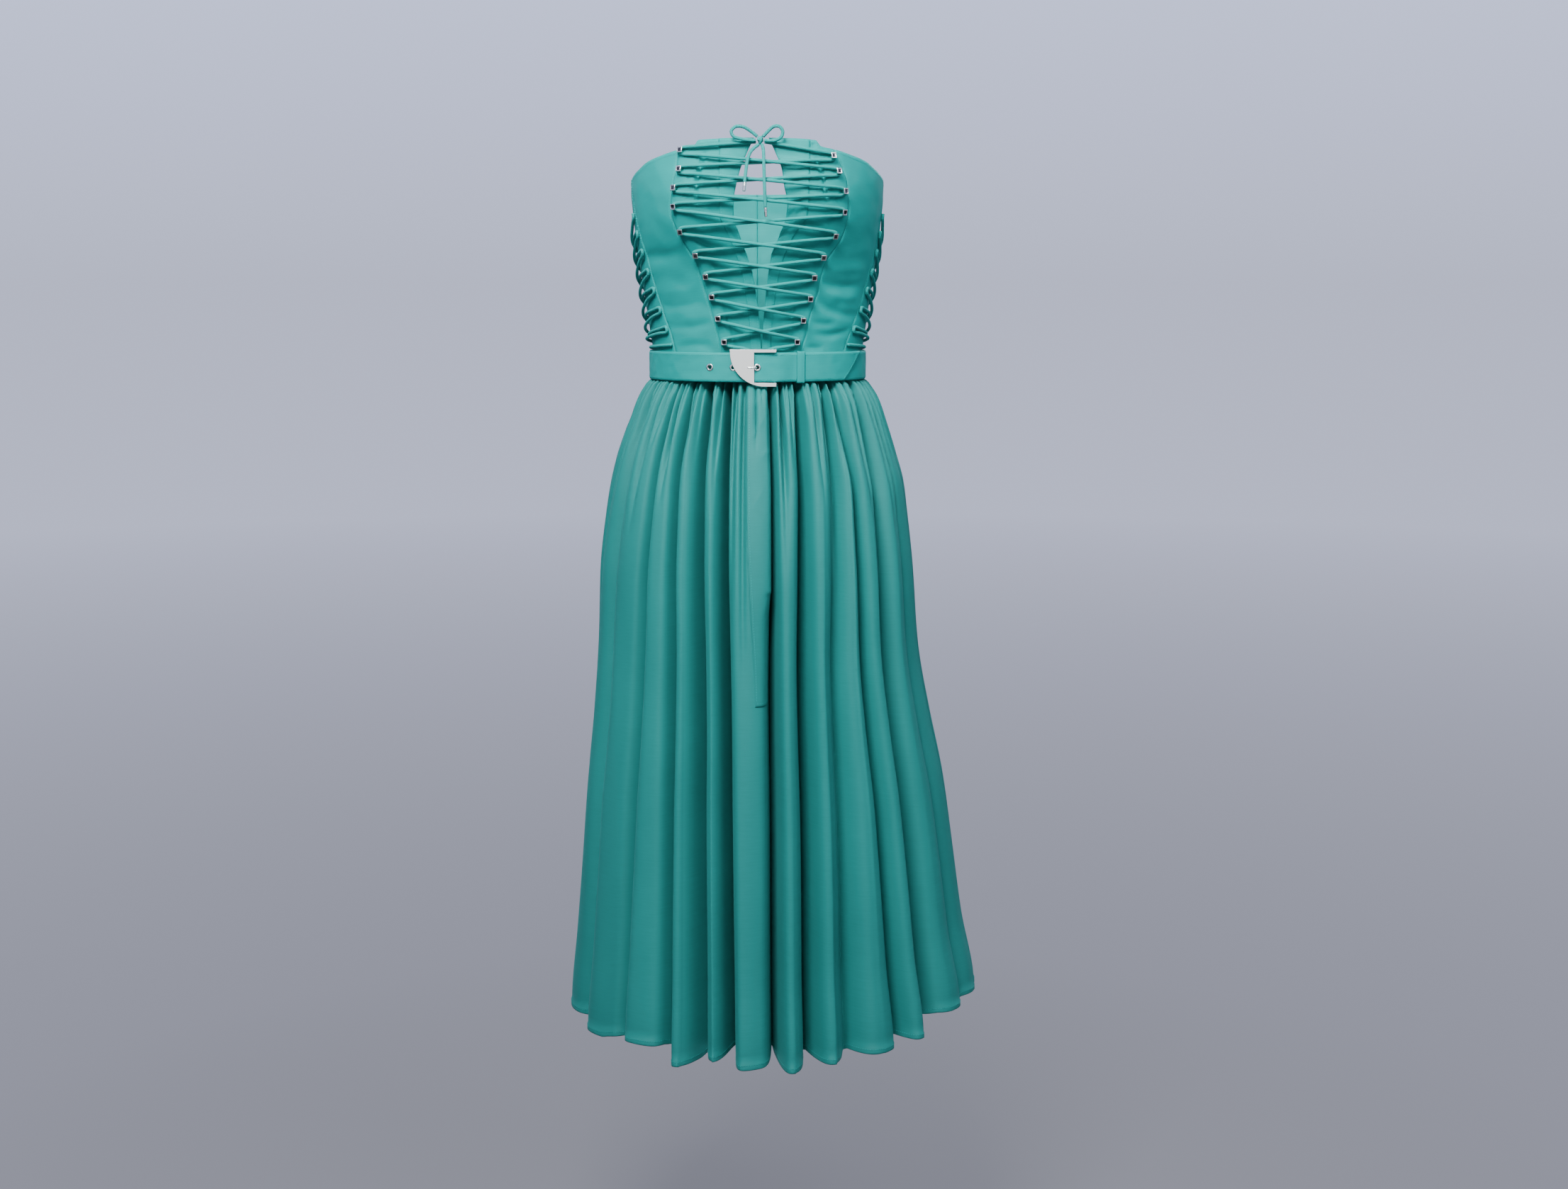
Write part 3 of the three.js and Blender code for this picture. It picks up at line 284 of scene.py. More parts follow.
CENTRE_BACK_SEAM = smooth_table("z left right", (-20, 180, 180), (200, 180, 180))
SEAMS_IN_DEGREES = (SIDE_FRONT_SEAM, SIDE_BACK_SEAM, CENTRE_BACK_SEAM)
SEAM_TRIES = 12
BODICE_CLOTH = 1.2
BAND_CLOTH = 1.0


@cache
def seam_angle(seam, side, row):
    """A seam's angle at one height, from the waist (0) to the top edge (1). The edge's own height
    changes with the angle, so the two are found together in a few tries."""
    z = WAIST_SEAM_Z
    angle = 0
    for _ in range(SEAM_TRIES):
        place = seam(side, z)
        angle = place if seam in SEAMS_IN_DEGREES else angle_at(place, z)
        z = WAIST_SEAM_Z + row * (TOP_EDGE("z", abs(angle)) - WAIST_SEAM_Z)
    return angle


# Creases of the bodice: each runs from one angle and height to another, bows sideways by the
# given millimetres, and is a trough (depth below 0) or a ridge of the given half width.
BODICE_CREASES = [
    (-23.8, 213, -27.5, 181.6, 1, 2.2, -2.6), (-27.5, 186.5, -27.5, 162, 0, 1.8, -1.8),
    (-30.8, 192, -33.2, 186, 0, 1.5, -1.2), (-29.3, 176, -33.5, 168.4, 0, 1.5, -1.2),
    (-30.7, 177.5, -34.6, 171.3, 0, 1.2, -1.0), (-23.1, 158.6, -17.5, 155.9, 1, 2, -1.4),
    (-13.9, 139.9, -9.5, 127.4, 0, 2, -1.6), (-31.9, 130.2, -22.1, 118.9, 1, 2.2, -1.6),
    (-28.4, 124.6, -20.1, 118.9, 1, 1.8, -1.2), (-23.3, 107, -20, 98.5, 0, 1.6, -1.2),
    (-10, 118.2, -5.1, 109.1, 0, 1.8, -1.4), (-18.1, 62.9, -12.2, 21.9, 1, 2.6, -1.2),
    (-74.7, 112.7, -38.4, 116.3, 3, 7, -2.2), (-59.9, 62.4, -30.8, 64.9, 2, 5, -1.2),
    (-52.4, 40.7, -25.7, 44.1, 2, 4.5, -1.3), (-45.4, 20.5, -26.5, 21.6, -1, 4, -1.4),
    (24.1, 218.3, 28, 225.5, 0, 1.5, -1.2), (27, 207.8, 30.5, 189.5, 0.5, 2, -2.2),
    (30.2, 190.9, 32.2, 165.7, 0.5, 2, -2), (23.9, 177.4, 28.7, 181.7, 0, 1.4, -1.1),
    (29.8, 181.7, 31.3, 174.7, 0, 1.3, -1.1), (34.8, 171.4, 38.5, 163.9, 0, 1.4, -1),
    (9, 214, 21.9, 209, 1, 1.8, -1.2), (14.9, 200.6, 21.4, 195.6, 0, 1.6, -1.1),
    (13.9, 165.7, 19.8, 162.1, 0, 1.6, -1.2), (17.9, 160, 13.5, 149, 0.5, 1.8, -1.5),
    (19.5, 158.6, 16.4, 147.5, 0.5, 1.6, -1.2), (19.1, 145.5, 30.4, 140.6, 1, 2.6, -2),
    (8.9, 129.5, 15.9, 140.6, 0, 1.8, -1.4), (6.4, 111.2, 14.3, 118.9, 0, 1.8, -1.3),
    (22.5, 121.7, 34.2, 125.4, 1, 2.2, -1.3), (33.4, 85.7, 59.9, 82.9, 3, 5, -2.4),
    (30.3, 65.6, 62.3, 51.4, 4, 5, -2), (29.6, 45.5, 43, 43.8, 1, 3.5, -1.4),
    (31.9, 33.1, 54.1, 35.5, 2, 4, -2), (26.4, 19.5, 35.7, 18.5, 0, 3, -1.4),
    (18.5, 58.6, 17.2, 49.2, 0, 1.6, -1), (17.3, 43.5, 18.9, 29, 0, 1.6, -1),
    (34, 76, 60, 70, 3, 4, 1.0), (35, 96, 66, 99, -2, 6, 0.9), (-60, 76, -33, 80, 2, 5, 0.7),
    (-118, 34, -150, 22, 3, 5, -1.6), (-128, 70, -152, 58, 2, 6, -1.3),
    (-122, 104, -160, 112, -3, 8, -1.4), (-150, 30, -176, 26, 2, 5, -1.5),
    (-112, 142, -138, 150, -2, 6, -1.1), (-140, 164, -168, 158, 1, 5, -0.9),
    (119, 28, 148, 17, 3, 5, -1.7), (124, 58, 158, 66, -2, 6, -1.3), (116, 116, 150, 101, 3, 7, -1.5),
    (154, 40, 177, 33, 1, 4, -1.2), (110, 150, 132, 161, -1, 5, -1.1),
    (146, 139, 172, 146, 1, 6, -1.2),
]
CREASE_TAIL = 0.15
CREASE_MARGIN = 8


def crease_height(creases, angle, z):
    total = 0
    for start, start_z, finish, finish_z, bow, width, depth in creases:
        run_x = (finish - start) * MM_PER_DEGREE
        run_z = finish_z - start_z
        off_x = (angle - start) * MM_PER_DEGREE
        off_z = z - start_z
        length = math.hypot(run_x, run_z)
        along = (off_x * run_x + off_z * run_z) / length / length
        if not -CREASE_TAIL < along < 1 + CREASE_TAIL:
            continue
        aside = (off_x * run_z - off_z * run_x) / length - bow * math.sin(math.pi * along)
        if abs(aside) < 3 * width:
            fade = max(0, math.sin(math.pi * (along + CREASE_TAIL) / (1 + 2 * CREASE_TAIL))) ** 0.8
            total += depth * fade * math.exp(-((aside / width) ** 2))
    return total


def grid_piece(columns, rows, place, flat):
    """A sheet of cloth as a fine grid. place gives a point in millimetres for u and v from 0 to 1,
    and flat is the sheet's width and height in metres, which its UV map follows."""
    mesh = bmesh.new()
    uv = mesh.loops.layers.uv.new("UVMap")
    bmesh.ops.create_grid(mesh, x_segments=columns, y_segments=rows, size=0.5, calc_uvs=True)
    for loop in (loop for face in mesh.faces for loop in face.loops):
        loop[uv].uv = ((loop.vert.co.x + 0.5) * flat[0], (loop.vert.co.y + 0.5) * flat[1])
    for vertex in mesh.verts:
        vertex.co = place(vertex.co.x + 0.5, vertex.co.y + 0.5) * MM
    return mesh


def piece_from(name, mesh, look, node):
    """Makes an object of a mesh, smooth, with its material, in place of a solid if one is named."""
    for face in mesh.faces:
        face.smooth = True
    data = bpy.data.meshes.new(name)
    mesh.to_mesh(data)
    mesh.free()
    data.materials.append(look)
    piece = bpy.data.objects.new(name, data)
    bpy.context.scene.collection.objects.link(piece)
    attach(piece, "root")
    if node:
        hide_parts(node)
    return piece


def cloth_piece(mesh, look, node, thickness):
    """A cut of cloth, whose thickness lies inside its modelled face."""
    piece = piece_from(f"{node}_cloth", mesh, look, node)
    shell = piece.modifiers.new("cloth thickness", "SOLIDIFY")
    shell.thickness = thickness * MM
    shell.offset = -1
    return piece


# Poplin, the cloth of the whole dress: a fine plain weave with slight slubs, dyed teal. It has a
# soft sheen, and its shade varies a little from one patch to the next.
def node_group(name, inputs, outputs):
    group = bpy.data.node_groups.new(name, "ShaderNodeTree")
    for socket, kind in inputs.items():
        group.interface.new_socket(socket, in_out="INPUT", socket_type=kind)
    for socket, kind in outputs.items():
        group.interface.new_socket(socket, in_out="OUTPUT", socket_type=kind)
    return group, group.nodes.new("NodeGroupInput"), group.nodes.new("NodeGroupOutput")


def noise_node(tree, vector, scale, detail):
    texture = tree.nodes.new("ShaderNodeTexNoise")
    texture.inputs["Scale"].default_value = scale
    texture.inputs["Detail"].default_value = detail
    tree.links.new(vector, texture.inputs["Vector"])
    return texture.outputs["Fac"]


def add_bump(tree, shader, height, strength, distance):
    bump = tree.nodes.new("ShaderNodeBump")
    bump.inputs["Strength"].default_value = strength
    bump.inputs["Distance"].default_value = distance
    tree.links.new(height, bump.inputs["Height"])
    tree.links.new(bump.outputs["Normal"], shader.inputs["Normal"])


weave, weave_in, weave_out = node_group(
    "poplin weave",
    {"Vector": "NodeSocketVector", "Threads": "NodeSocketFloat"},
    {"Height": "NodeSocketFloat", "Shade": "NodeSocketFloat"},
)
weave_split = weave.nodes.new("ShaderNodeSeparateXYZ")
weave.links.new(weave_in.outputs["Vector"], weave_split.inputs[0])
warp, weft = (
    math_node(weave, "SINE", math_node(weave, "MULTIPLY", direction, weave_in.outputs["Threads"]))
    for direction in weave_split.outputs[:2]
)
weave.links.new(math_node(weave, "MULTIPLY", warp, weft), weave_out.inputs["Height"])
slub_stretch = weave.nodes.new("ShaderNodeVectorMath")
slub_stretch.operation = "MULTIPLY"
slub_stretch.inputs[1].default_value = (1, 14, 1)
weave.links.new(weave_in.outputs["Vector"], slub_stretch.inputs[0])
weave.links.new(noise_node(weave, slub_stretch.outputs[0], 60, 3), weave_out.inputs["Shade"])

THREAD_REPEAT = 0.0006
TEAL_DEEP = (0.0, 0.255, 0.241, 1)
TEAL_LIGHT = (0.002, 0.362, 0.344, 1)


def poplin(name, deep, light):
    look, tree, shader = new_look(name)
    place = tree.nodes.new("ShaderNodeTexCoord")
    cloth = tree.nodes.new("ShaderNodeGroup")
    cloth.node_tree = weave
    cloth.inputs["Threads"].default_value = 2 * math.pi / THREAD_REPEAT
    tree.links.new(place.outputs["UV"], cloth.inputs["Vector"])
    cloud = noise_node(tree, place.outputs["Object"], 9, 4)
    wide_shade = math_node(tree, "MULTIPLY", cloud, 0.7)
    fine_shade = math_node(tree, "MULTIPLY", cloth.outputs["Shade"], 0.5)
    colour = colour_node(tree, math_node(tree, "ADD", wide_shade, fine_shade), deep, light)
    tree.links.new(colour, shader.inputs["Base Color"])
    roughness = math_node(tree, "ADD", math_node(tree, "MULTIPLY", cloud, 0.16), 0.5)
    tree.links.new(roughness, shader.inputs["Roughness"])
    add_bump(tree, shader, cloth.outputs["Height"], 0.35, 0.00008)
    shader.inputs["Sheen Weight"].default_value = 0.08
    shader.inputs["Sheen Roughness"].default_value = 0.45
    shader.inputs["Sheen Tint"].default_value = (0.15, 0.95, 0.92, 1)
    shader.inputs["Specular IOR Level"].default_value = 0.22
    return look


bodice_look = poplin("bodice poplin", TEAL_DEEP, TEAL_LIGHT)

SEAM_ROLL = 1.6
SEAM_DIP = 0.7
SPAN_ROWS = 8
BODICE_SOFTNESS = 0.6


def bodice_panel(side, inner, outer, lift=0, dips=(1, 1)):
    """A panel's form and its width: u runs from the smaller angle to the larger one, v from the
    waist to the top. dips says how much its inner and outer seams are sunk."""
    sign = -1 if side == "left" else 1

    @cache
    def edges(v):
        ends = sorted((sign * seam_angle(inner, side, v), sign * seam_angle(outer, side, v)))
        return ends[0], ends[1]

    first, last = dips if sign > 0 else dips[::-1]
    spans = [edges(row / SPAN_ROWS) for row in range(SPAN_ROWS + 1)]
    lowest, highest = min(span[0] for span in spans), max(span[1] for span in spans)
    creases = [
        crease for crease in BODICE_CREASES
        if max(crease[0], crease[2]) > lowest - CREASE_MARGIN
        and min(crease[0], crease[2]) < highest + CREASE_MARGIN
    ]

    def place(u, v):
        low, high = edges(min(max(v, 0), 1))
        angle = low + u * (high - low)
        z = WAIST_SEAM_Z + v * (TOP_EDGE("z", abs(angle)) - WAIST_SEAM_Z)
        normal = outward(bodice_point, angle, z)
        wide = (high - low) * MM_PER_DEGREE
        roll = first * math.exp(-((u * wide / SEAM_ROLL) ** 2))
        roll += last * math.exp(-(((1 - u) * wide / SEAM_ROLL) ** 2))
        crease = crease_height(creases, angle, z)
        soft = BODICE_SOFTNESS * noise.noise(Vector((angle / 9, z / 14, 3)))
        return bodice_point(angle, z) + normal * (lift - SEAM_DIP * roll + crease + soft)

    def width(v):
        low, high = edges(v)
        return (high - low) * MM_PER_DEGREE

    return place, width


BODICE_PANELS = {
    "centre_front": {"seams": (OPENING, PRINCESS_SEAM), "columns": 72, "dips": (0, 1)},
    "side_front": {"seams": (PRINCESS_SEAM, SIDE_FRONT_SEAM), "columns": 72, "dips": (1, 1)},
    "side_panel": {"seams": (SIDE_FRONT_SEAM, SIDE_BACK_SEAM), "columns": 48, "dips": (1, 1)},
    "back": {"seams": (SIDE_BACK_SEAM, CENTRE_BACK_SEAM), "columns": 64, "dips": (1, 1)},
}
BODICE_GRID_ROWS = 96
BAND_COLUMNS = 14
# Each cut's form is kept by name, and its flat width and length in metres are given to its grid.
panel_forms = {}
for side in ("left", "right"):
    for name, cut in BODICE_PANELS.items():
        node = f"{name}_{side}"
        place, width = bodice_panel(side, *cut["seams"], dips=cut["dips"])
        panel_forms[node] = (place, width)
        mesh = grid_piece(cut["columns"], BODICE_GRID_ROWS, place, (0.09, 0.2))
        piece = cloth_piece(mesh, bodice_look, node, BODICE_CLOTH)
    place, width = bodice_panel(side, OPENING, BAND_SEAM, lift=BAND_CLOTH, dips=(0, 0.6))
    panel_forms[f"front_band_{side}"] = (place, width)
    mesh = grid_piece(BAND_COLUMNS, BODICE_GRID_ROWS, place, (0.02, 0.2))
    band = cloth_piece(mesh, bodice_look, f"front_band_{side}", BAND_CLOTH)

# Skirt, cotton poplin, gathered into the waist. Large folds open between valleys that lean from
# their waist angle to their hem angle, and small gathers ripple the cloth under the belt.
SKIRT_TOP_Z = -8.3
HEM_Z = -700
FOLDS_START_Z = -30
SKIRT_CLOTH = 1.0
# The skirt's teals are the bodice poplin's, darkened by about a third: painted shade, for the light that
# falls off down the dress.
SKIRT_DEEP_PAINTED_SHADE = (0.008, 0.165, 0.156, 1)
SKIRT_LIGHT_PAINTED_SHADE = (0.011, 0.240, 0.228, 1)
SKIRT_SECTIONS = smooth_table(
    "z left right front back",
    (-703, 208, 242, 216, 204), (-614, 201, 227, 202, 194), (-533, 195, 216, 190, 184),
    (-453, 189, 204, 178, 175), (-374, 181, 188, 167, 167), (-295, 175, 175, 157, 160),
    (-218, 171, 169, 148, 151), (-156, 163, 162, 138, 141), (-125, 158, 158, 131, 134),
    (-95, 151, 150, 123, 125), (-62, 140, 140, 112, 112), (-36, 130, 131, 102, 99),
    (-22, 121.5, 122, 91.5, 87), (-17.2, 117.5, 117.5, 88, 83), (-15.2, 113, 113, 83.5, 78.5),
    (-12, 111.5, 111.5, 82, 77), (-7, 111.5, 111.5, 82, 77),
)
GATHER_HEIGHT = smooth_table(
    "z height",
    (-400, 0), (-340, 0.3), (-160, 1.6), (-75, 3.4), (-36, 4.2), (-22, 3.4), (-17, 1.4), (-7, 1),
)
# Each row opens a fold: its valley's angle at the waist and at the hem, the valley's depth at
# the hem, how far its hem hangs, how sharp its valley is (a smaller number is sharper), how far
# its crest is shifted to its left edge, and how many degrees the crest leans over at the hem.
VALLEYS = [
    {"waist": -76, "hem": -92, "depth": 18, "drop": -2, "round": 0.75, "shift": 0.05, "lean": 0},
    {"waist": -63, "hem": -69, "depth": 10, "drop": 3, "round": 0.8, "shift": 0.27, "lean": 0},
    {"waist": -45, "hem": -47, "depth": 26, "drop": -8, "round": 0.6, "shift": 0.12, "lean": 1},
    {"waist": -36, "hem": -29, "depth": 28, "drop": 7, "round": 0.6, "shift": 0.16, "lean": 0},
    {"waist": -26, "hem": -18.5, "depth": 30, "drop": -3, "round": 0.7, "shift": 0.1, "lean": 0},
    {"waist": -16, "hem": -9, "depth": 34, "drop": 4, "round": 0.6, "shift": 0.16, "lean": 0},
    {"waist": 6, "hem": 4.5, "depth": 36, "drop": 8, "round": 0.6, "shift": 0.14, "lean": 0},
    {"waist": 20.5, "hem": 14, "depth": 28, "drop": 3, "round": 0.7, "shift": 0.2, "lean": 0},
    {"waist": 36, "hem": 25, "depth": 17, "drop": -1, "round": 0.8, "shift": 0.16, "lean": 0},
    {"waist": 42, "hem": 40, "depth": 27, "drop": -7, "round": 0.6, "shift": 0.1, "lean": 0},
    {"waist": 57, "hem": 51, "depth": 33, "drop": -20, "round": 0.75, "shift": -0.22, "lean": 0},
    {"waist": 70, "hem": 68, "depth": 4, "drop": -24, "round": 0.9, "shift": 0.05, "lean": 0},
    {"waist": 84, "hem": 85, "depth": 20, "drop": -12, "round": 0.75, "shift": 0, "lean": 0},
    {"waist": 101, "hem": 104, "depth": 24, "drop": 3, "round": 0.65, "shift": 0.12, "lean": 0},
    {"waist": 117, "hem": 121, "depth": 26, "drop": -2, "round": 0.6, "shift": -0.1, "lean": 0},
    {"waist": 133, "hem": 137, "depth": 22, "drop": 4, "round": 0.75, "shift": 0.16, "lean": 0},
    {"waist": 149, "hem": 152, "depth": 28, "drop": 0, "round": 0.6, "shift": -0.05, "lean": 0},
    {"waist": 165, "hem": 166, "depth": 22, "drop": 5, "round": 0.7, "shift": 0.14, "lean": 0},
    {"waist": 180, "hem": 180, "depth": 28, "drop": 2, "round": 0.6, "shift": -0.12, "lean": 0},
    {"waist": 196, "hem": 195, "depth": 24, "drop": -3, "round": 0.7, "shift": 0.1, "lean": 0},
    {"waist": 211, "hem": 211, "depth": 27, "drop": 4, "round": 0.6, "shift": -0.16, "lean": 0},
    {"waist": 228, "hem": 226, "depth": 23, "drop": 0, "round": 0.7, "shift": 0.1, "lean": 0},
    {"waist": 247, "hem": 243, "depth": 26, "drop": -8, "round": 0.65, "shift": -0.1, "lean": 0},
    {"waist": 265, "hem": 257, "depth": 22, "drop": -30, "round": 0.75, "shift": 0.1, "lean": 0},
    {"waist": 284, "hem": 268, "depth": 18, "drop": -30, "round": 0.75, "shift": 0, "lean": 0},
]
SKIRT_PANELS = {
    "skirt_front_left": 0, "skirt_front_right": 6, "skirt_back_right": 12, "skirt_back_left": 18,
}
FOLDS_IN_A_PANEL = 6
FLY_FOLD = 5
FLY_EDGE = 0.45
# Gathers under the belt, as troughs that die out down the skirt. Each row is its place in folds
# and shares of a fold, how far down it reaches, its half width at the belt and its depth.
GATHERS = [
    (0.2, 90, 1.6, 2.6), (0.48, 150, 1.9, 3.4), (0.93, 120, 1.7, 3.2), (1.23, 90, 1.5, 2.8),
    (1.52, 170, 2, 3.8), (1.76, 60, 1.3, 2.4), (2.05, 420, 2.4, 5.5), (2.45, 110, 1.6, 3),
    (2.9, 480, 2.4, 6), (3.38, 70, 1.5, 2.8), (3.62, 120, 1.6, 2.8), (3.93, 520, 2.8, 7.5),
    (4.29, 90, 1.6, 3.2), (4.6, 140, 1.7, 3), (4.92, 520, 3, 8), (5.12, 170, 2, 3.6),
    (5.28, 260, 2.0, 4.4), (5.44, 330, 1.6, 4.5), (5.99, 460, 2.6, 7), (6.15, 60, 1.6, 4),
    (6.43, 200, 2, 3.8), (6.65, 100, 1.6, 3), (7.04, 520, 3, 8), (7.18, 60, 1.4, 2.8),
    (7.52, 130, 1.7, 3), (7.9, 80, 1.5, 2.6), (8.23, 330, 2.4, 4.4), (8.65, 100, 1.6, 3.2),
    (8.95, 460, 2.6, 6),
    (9.23, 90, 1.5, 2.8), (9.52, 150, 1.8, 3.4), (9.98, 420, 2.4, 5.4), (10.26, 110, 1.6, 3),
    (10.58, 170, 1.9, 3.4), (11.0, 300, 2.2, 4.4), (11.4, 100, 1.6, 3), (11.75, 140, 1.7, 3.2),
]
# Between them lie finer ones, and round the back they follow one another in an uneven run.
BACK_REACHES = (130, 70, 210, 90, 360, 80, 150)
BACK_STEPS = (0.26, 0.35, 0.24, 0.31, 0.38, 0.28)
place = 12.08
while place < 24:
    reach = BACK_REACHES[len(GATHERS) % len(BACK_REACHES)]
    GATHERS.append((place, reach, 1.4 + reach / 260, 2.6 + reach / 110))
    place += BACK_STEPS[len(GATHERS) % len(BACK_STEPS)]
FINE_STEPS = (0.13, 0.19, 0.11, 0.16, 0.22)
FINE_REACHES = (25, 95, 40, 20, 130, 55, 30, 75)
place = 0.06
while place < 24:
    reach = FINE_REACHES[len(GATHERS) % len(FINE_REACHES)]
    GATHERS.append((place, reach, 0.6 + reach / 150, 1.2 + reach / 42))
    place += FINE_STEPS[len(GATHERS) % len(FINE_STEPS)]
GATHERS_START_Z = -12
GATHER_WIDTH = 0.95
GATHER_DEPTH = 3.6
FOLD_DEPTH = 0.6
FOLD_GROWTH = 0.6
SLIT_DEPTH = 1.6
SLIT_GROWTH = 0.36
SLIT_WIDTH = 5.8
SLIT_SHARPNESS = 1.5
SLIT_AT_WAIST = 0.45
PLAIN_VALLEY_ROUND = 0.6
FLY_SLIT_WIDTH = 1.7
FLY_FLAT_TO_Z = -228
FLY_TURN_IN = 22
CROWDING = {"waist": 0.45, "hem": 0.8}
HEM_TURN = 6
HEM_FOLD = 0.7
HEM_DROP_FROM_Z = -340
HEM_DROP_RUN = 360
SKIRT_SOFTNESS = 1.3
DEGREES_PER_RADIAN = 57.3


@cache
def skirt_level(z):
    """What every fold shares at one height."""
    down = min(max((z - WAIST_SEAM_Z) / (HEM_Z - WAIST_SEAM_Z), 0), 1)
    folded = min(max((z - FOLDS_START_Z) / (HEM_Z - FOLDS_START_Z), 0), 1)
    sides = {name: SKIRT_SECTIONS(name, z) for name in ("left", "right", "front", "back")}
    return down ** 0.6, folded ** FOLD_GROWTH, folded ** SLIT_GROWTH, GATHER_HEIGHT("height", z), sides


def fold_angle(fold, share, down):
    """The angle round the body of a fold at a share of its width; columns crowd in the valleys."""
    here, after = VALLEYS[fold], VALLEYS[fold + 1]
    start = here["waist"] + down * (here["hem"] - here["waist"])
    finish = after["waist"] + down * (after["hem"] - after["waist"])
    crowding = CROWDING["waist"] + down * (CROWDING["hem"] - CROWDING["waist"])
    return start + (share - crowding * math.sin(2 * math.pi * share) / (2 * math.pi)) * (finish - start)


@cache
def gathers_at(z, fold):
    """The gathers of a fold and of its two neighbours that still show at one height, each as its
    place, angle, half width and depth."""
    down = skirt_level(z)[0]
    shown = []
    for place, reach, width, depth in GATHERS:
        along = (GATHERS_START_Z - z) / reach
        if 0 <= along < 1 and -1 < place - fold < 2:
            whole = min(int(place), len(VALLEYS) - 2)
            angle = fold_angle(whole, place - whole, down)
            fade = min(1, 0.45 + along * reach / 20) * (1 - along) ** 1.1
            wide = GATHER_WIDTH * width * (1 + 1.4 * along)
            shown.append((place, angle, wide, GATHER_DEPTH * depth * fade))
    return shown


def skirt_point(fold, share, level_z):
    """The outer point of a fold at a share of its width, from its own valley to the next."""
    here, after = VALLEYS[fold], VALLEYS[fold + 1]
    down, folded, slit, gather_height, sides = skirt_level(level_z)
    roundness = here["round"] + share * (after["round"] - here["round"])
    shifted = share + here["shift"] * folded * math.sin(math.pi * share)
    crest = (1 - math.cos(2 * math.pi * shifted)) / 2
    bulge = crest ** roundness
    drop = here["drop"]
    beside = VALLEYS[fold - 1 if share < 0.5 else (fold + 1) % (len(VALLEYS) - 1)]["drop"]
    drop += max(0, 1 - 4 * crest) * (beside - drop) / 2
    z = level_z - drop * min(max((HEM_DROP_FROM_Z - level_z) / HEM_DROP_RUN, 0), 1)
    angle = fold_angle(fold, share, down)
    depth = here["depth"] + share * (after["depth"] - here["depth"])
    turn = math.radians(angle + here["lean"] * crest * down)
    across, deep = math.sin(turn), -math.cos(turn)
    wide = sides["left" if across < 0 else "right"]
    thick = sides["back" if deep > 0 else "front"]
    inward = FOLD_DEPTH * depth * folded * (1 - bulge)
    is_fly = fold == FLY_FOLD and share > FLY_EDGE and level_z > FLY_FLAT_TO_Z
    valley = after if share > 0.5 else here
    aside = abs(angle - valley["waist"] - down * (valley["hem"] - valley["waist"]))
    aside *= wide / DEGREES_PER_RADIAN
    slit_width = SLIT_WIDTH * (valley["round"] / PLAIN_VALLEY_ROUND) ** 3
    slit_width *= SLIT_AT_WAIST + (1 - SLIT_AT_WAIST) * down
    if fold == FLY_FOLD and share > 0.5:
        opened = min(max((FLY_FLAT_TO_Z - level_z) / FLY_TURN_IN, 0), 1)
        slit_width = FLY_SLIT_WIDTH + opened * (slit_width - FLY_SLIT_WIDTH)
    inward += SLIT_DEPTH * valley["depth"] * slit * math.exp(-((aside / slit_width) ** SLIT_SHARPNESS))
    whole = fold + share
    for place, trough_angle, width, trough in gathers_at(level_z, fold):
        if not (is_fly and abs(whole - place) > 0.06):
            aside = abs(angle - trough_angle) * wide / DEGREES_PER_RADIAN / width
            if aside < 4:
                inward += trough * math.exp(-(aside ** 1.5))
    inward += 0.5 + 0.15 * gather_height * (1 + math.sin(2.4 * fold + 9 * share))
    soft = SKIRT_SOFTNESS * noise.noise(Vector((angle / 7, z / 160, 11))) * min(1, -z / 120)
    turned = HEM_FOLD if level_z < HEM_Z + HEM_TURN else 0
    out = Vector((across / wide, deep / thick, 0)).normalized()
    return Vector((wide * across, thick * deep, z)) + out * (soft + turned - inward)


# The skirt and the fly placket wear this darker copy of the poplin. Its extra darkness is painted shade.
skirt_look_painted_shade = poplin("skirt poplin with painted shade", SKIRT_DEEP_PAINTED_SHADE, SKIRT_LIGHT_PAINTED_SHADE)
SKIRT_COLUMNS = {"front": 288, "back": 192}
SKIRT_ROWS = {"front": 120, "back": 96}
HEM_ROWS_Z = (HEM_Z, HEM_Z + 1, HEM_Z + HEM_TURN - 0.4, HEM_Z + HEM_TURN + 0.4)


def skirt_form(first, rows):
    """A skirt panel's form. Its first rows are the turned hem, and the rest crowd to the belt."""
    @cache
    def level(v):
        row = round(v * rows, 3)
        if row <= 3:
            low = min(int(row), 2)
            return HEM_ROWS_Z[low] + (row - low) * (HEM_ROWS_Z[low + 1] - HEM_ROWS_Z[low])
        left = (rows - row) / (rows - 3)
        return SKIRT_TOP_Z + left ** 1.5 * (HEM_ROWS_Z[3] - SKIRT_TOP_Z)

    def place(u, v):
        whole = u * FOLDS_IN_A_PANEL
        fold = max(min(int(whole), FOLDS_IN_A_PANEL - 1), 0)
        return skirt_point(first + fold, whole - fold, level(v))
    return place


# Each panel's flat length round its folds at the hem, its height, and its area.
SKIRT_CUTS = {
    "skirt_front_left": {"flat": (0.82, 0.70), "area": 0.44},
    "skirt_front_right": {"flat": (0.71, 0.70), "area": 0.38},
    "skirt_back_right": {"flat": (0.79, 0.70), "area": 0.41},
    "skirt_back_left": {"flat": (0.75, 0.70), "area": 0.39},
}
skirt_forms = {}
for node, first in SKIRT_PANELS.items():
    part = "front" if "front" in node else "back"
    skirt_forms[node] = skirt_form(first, SKIRT_ROWS[part])
    mesh = grid_piece(SKIRT_COLUMNS[part], SKIRT_ROWS[part], skirt_forms[node], (0.45, 0.7))
    panel = cloth_piece(mesh, skirt_look_painted_shade, node, SKIRT_CLOTH)
    cut = SKIRT_CUTS[node]

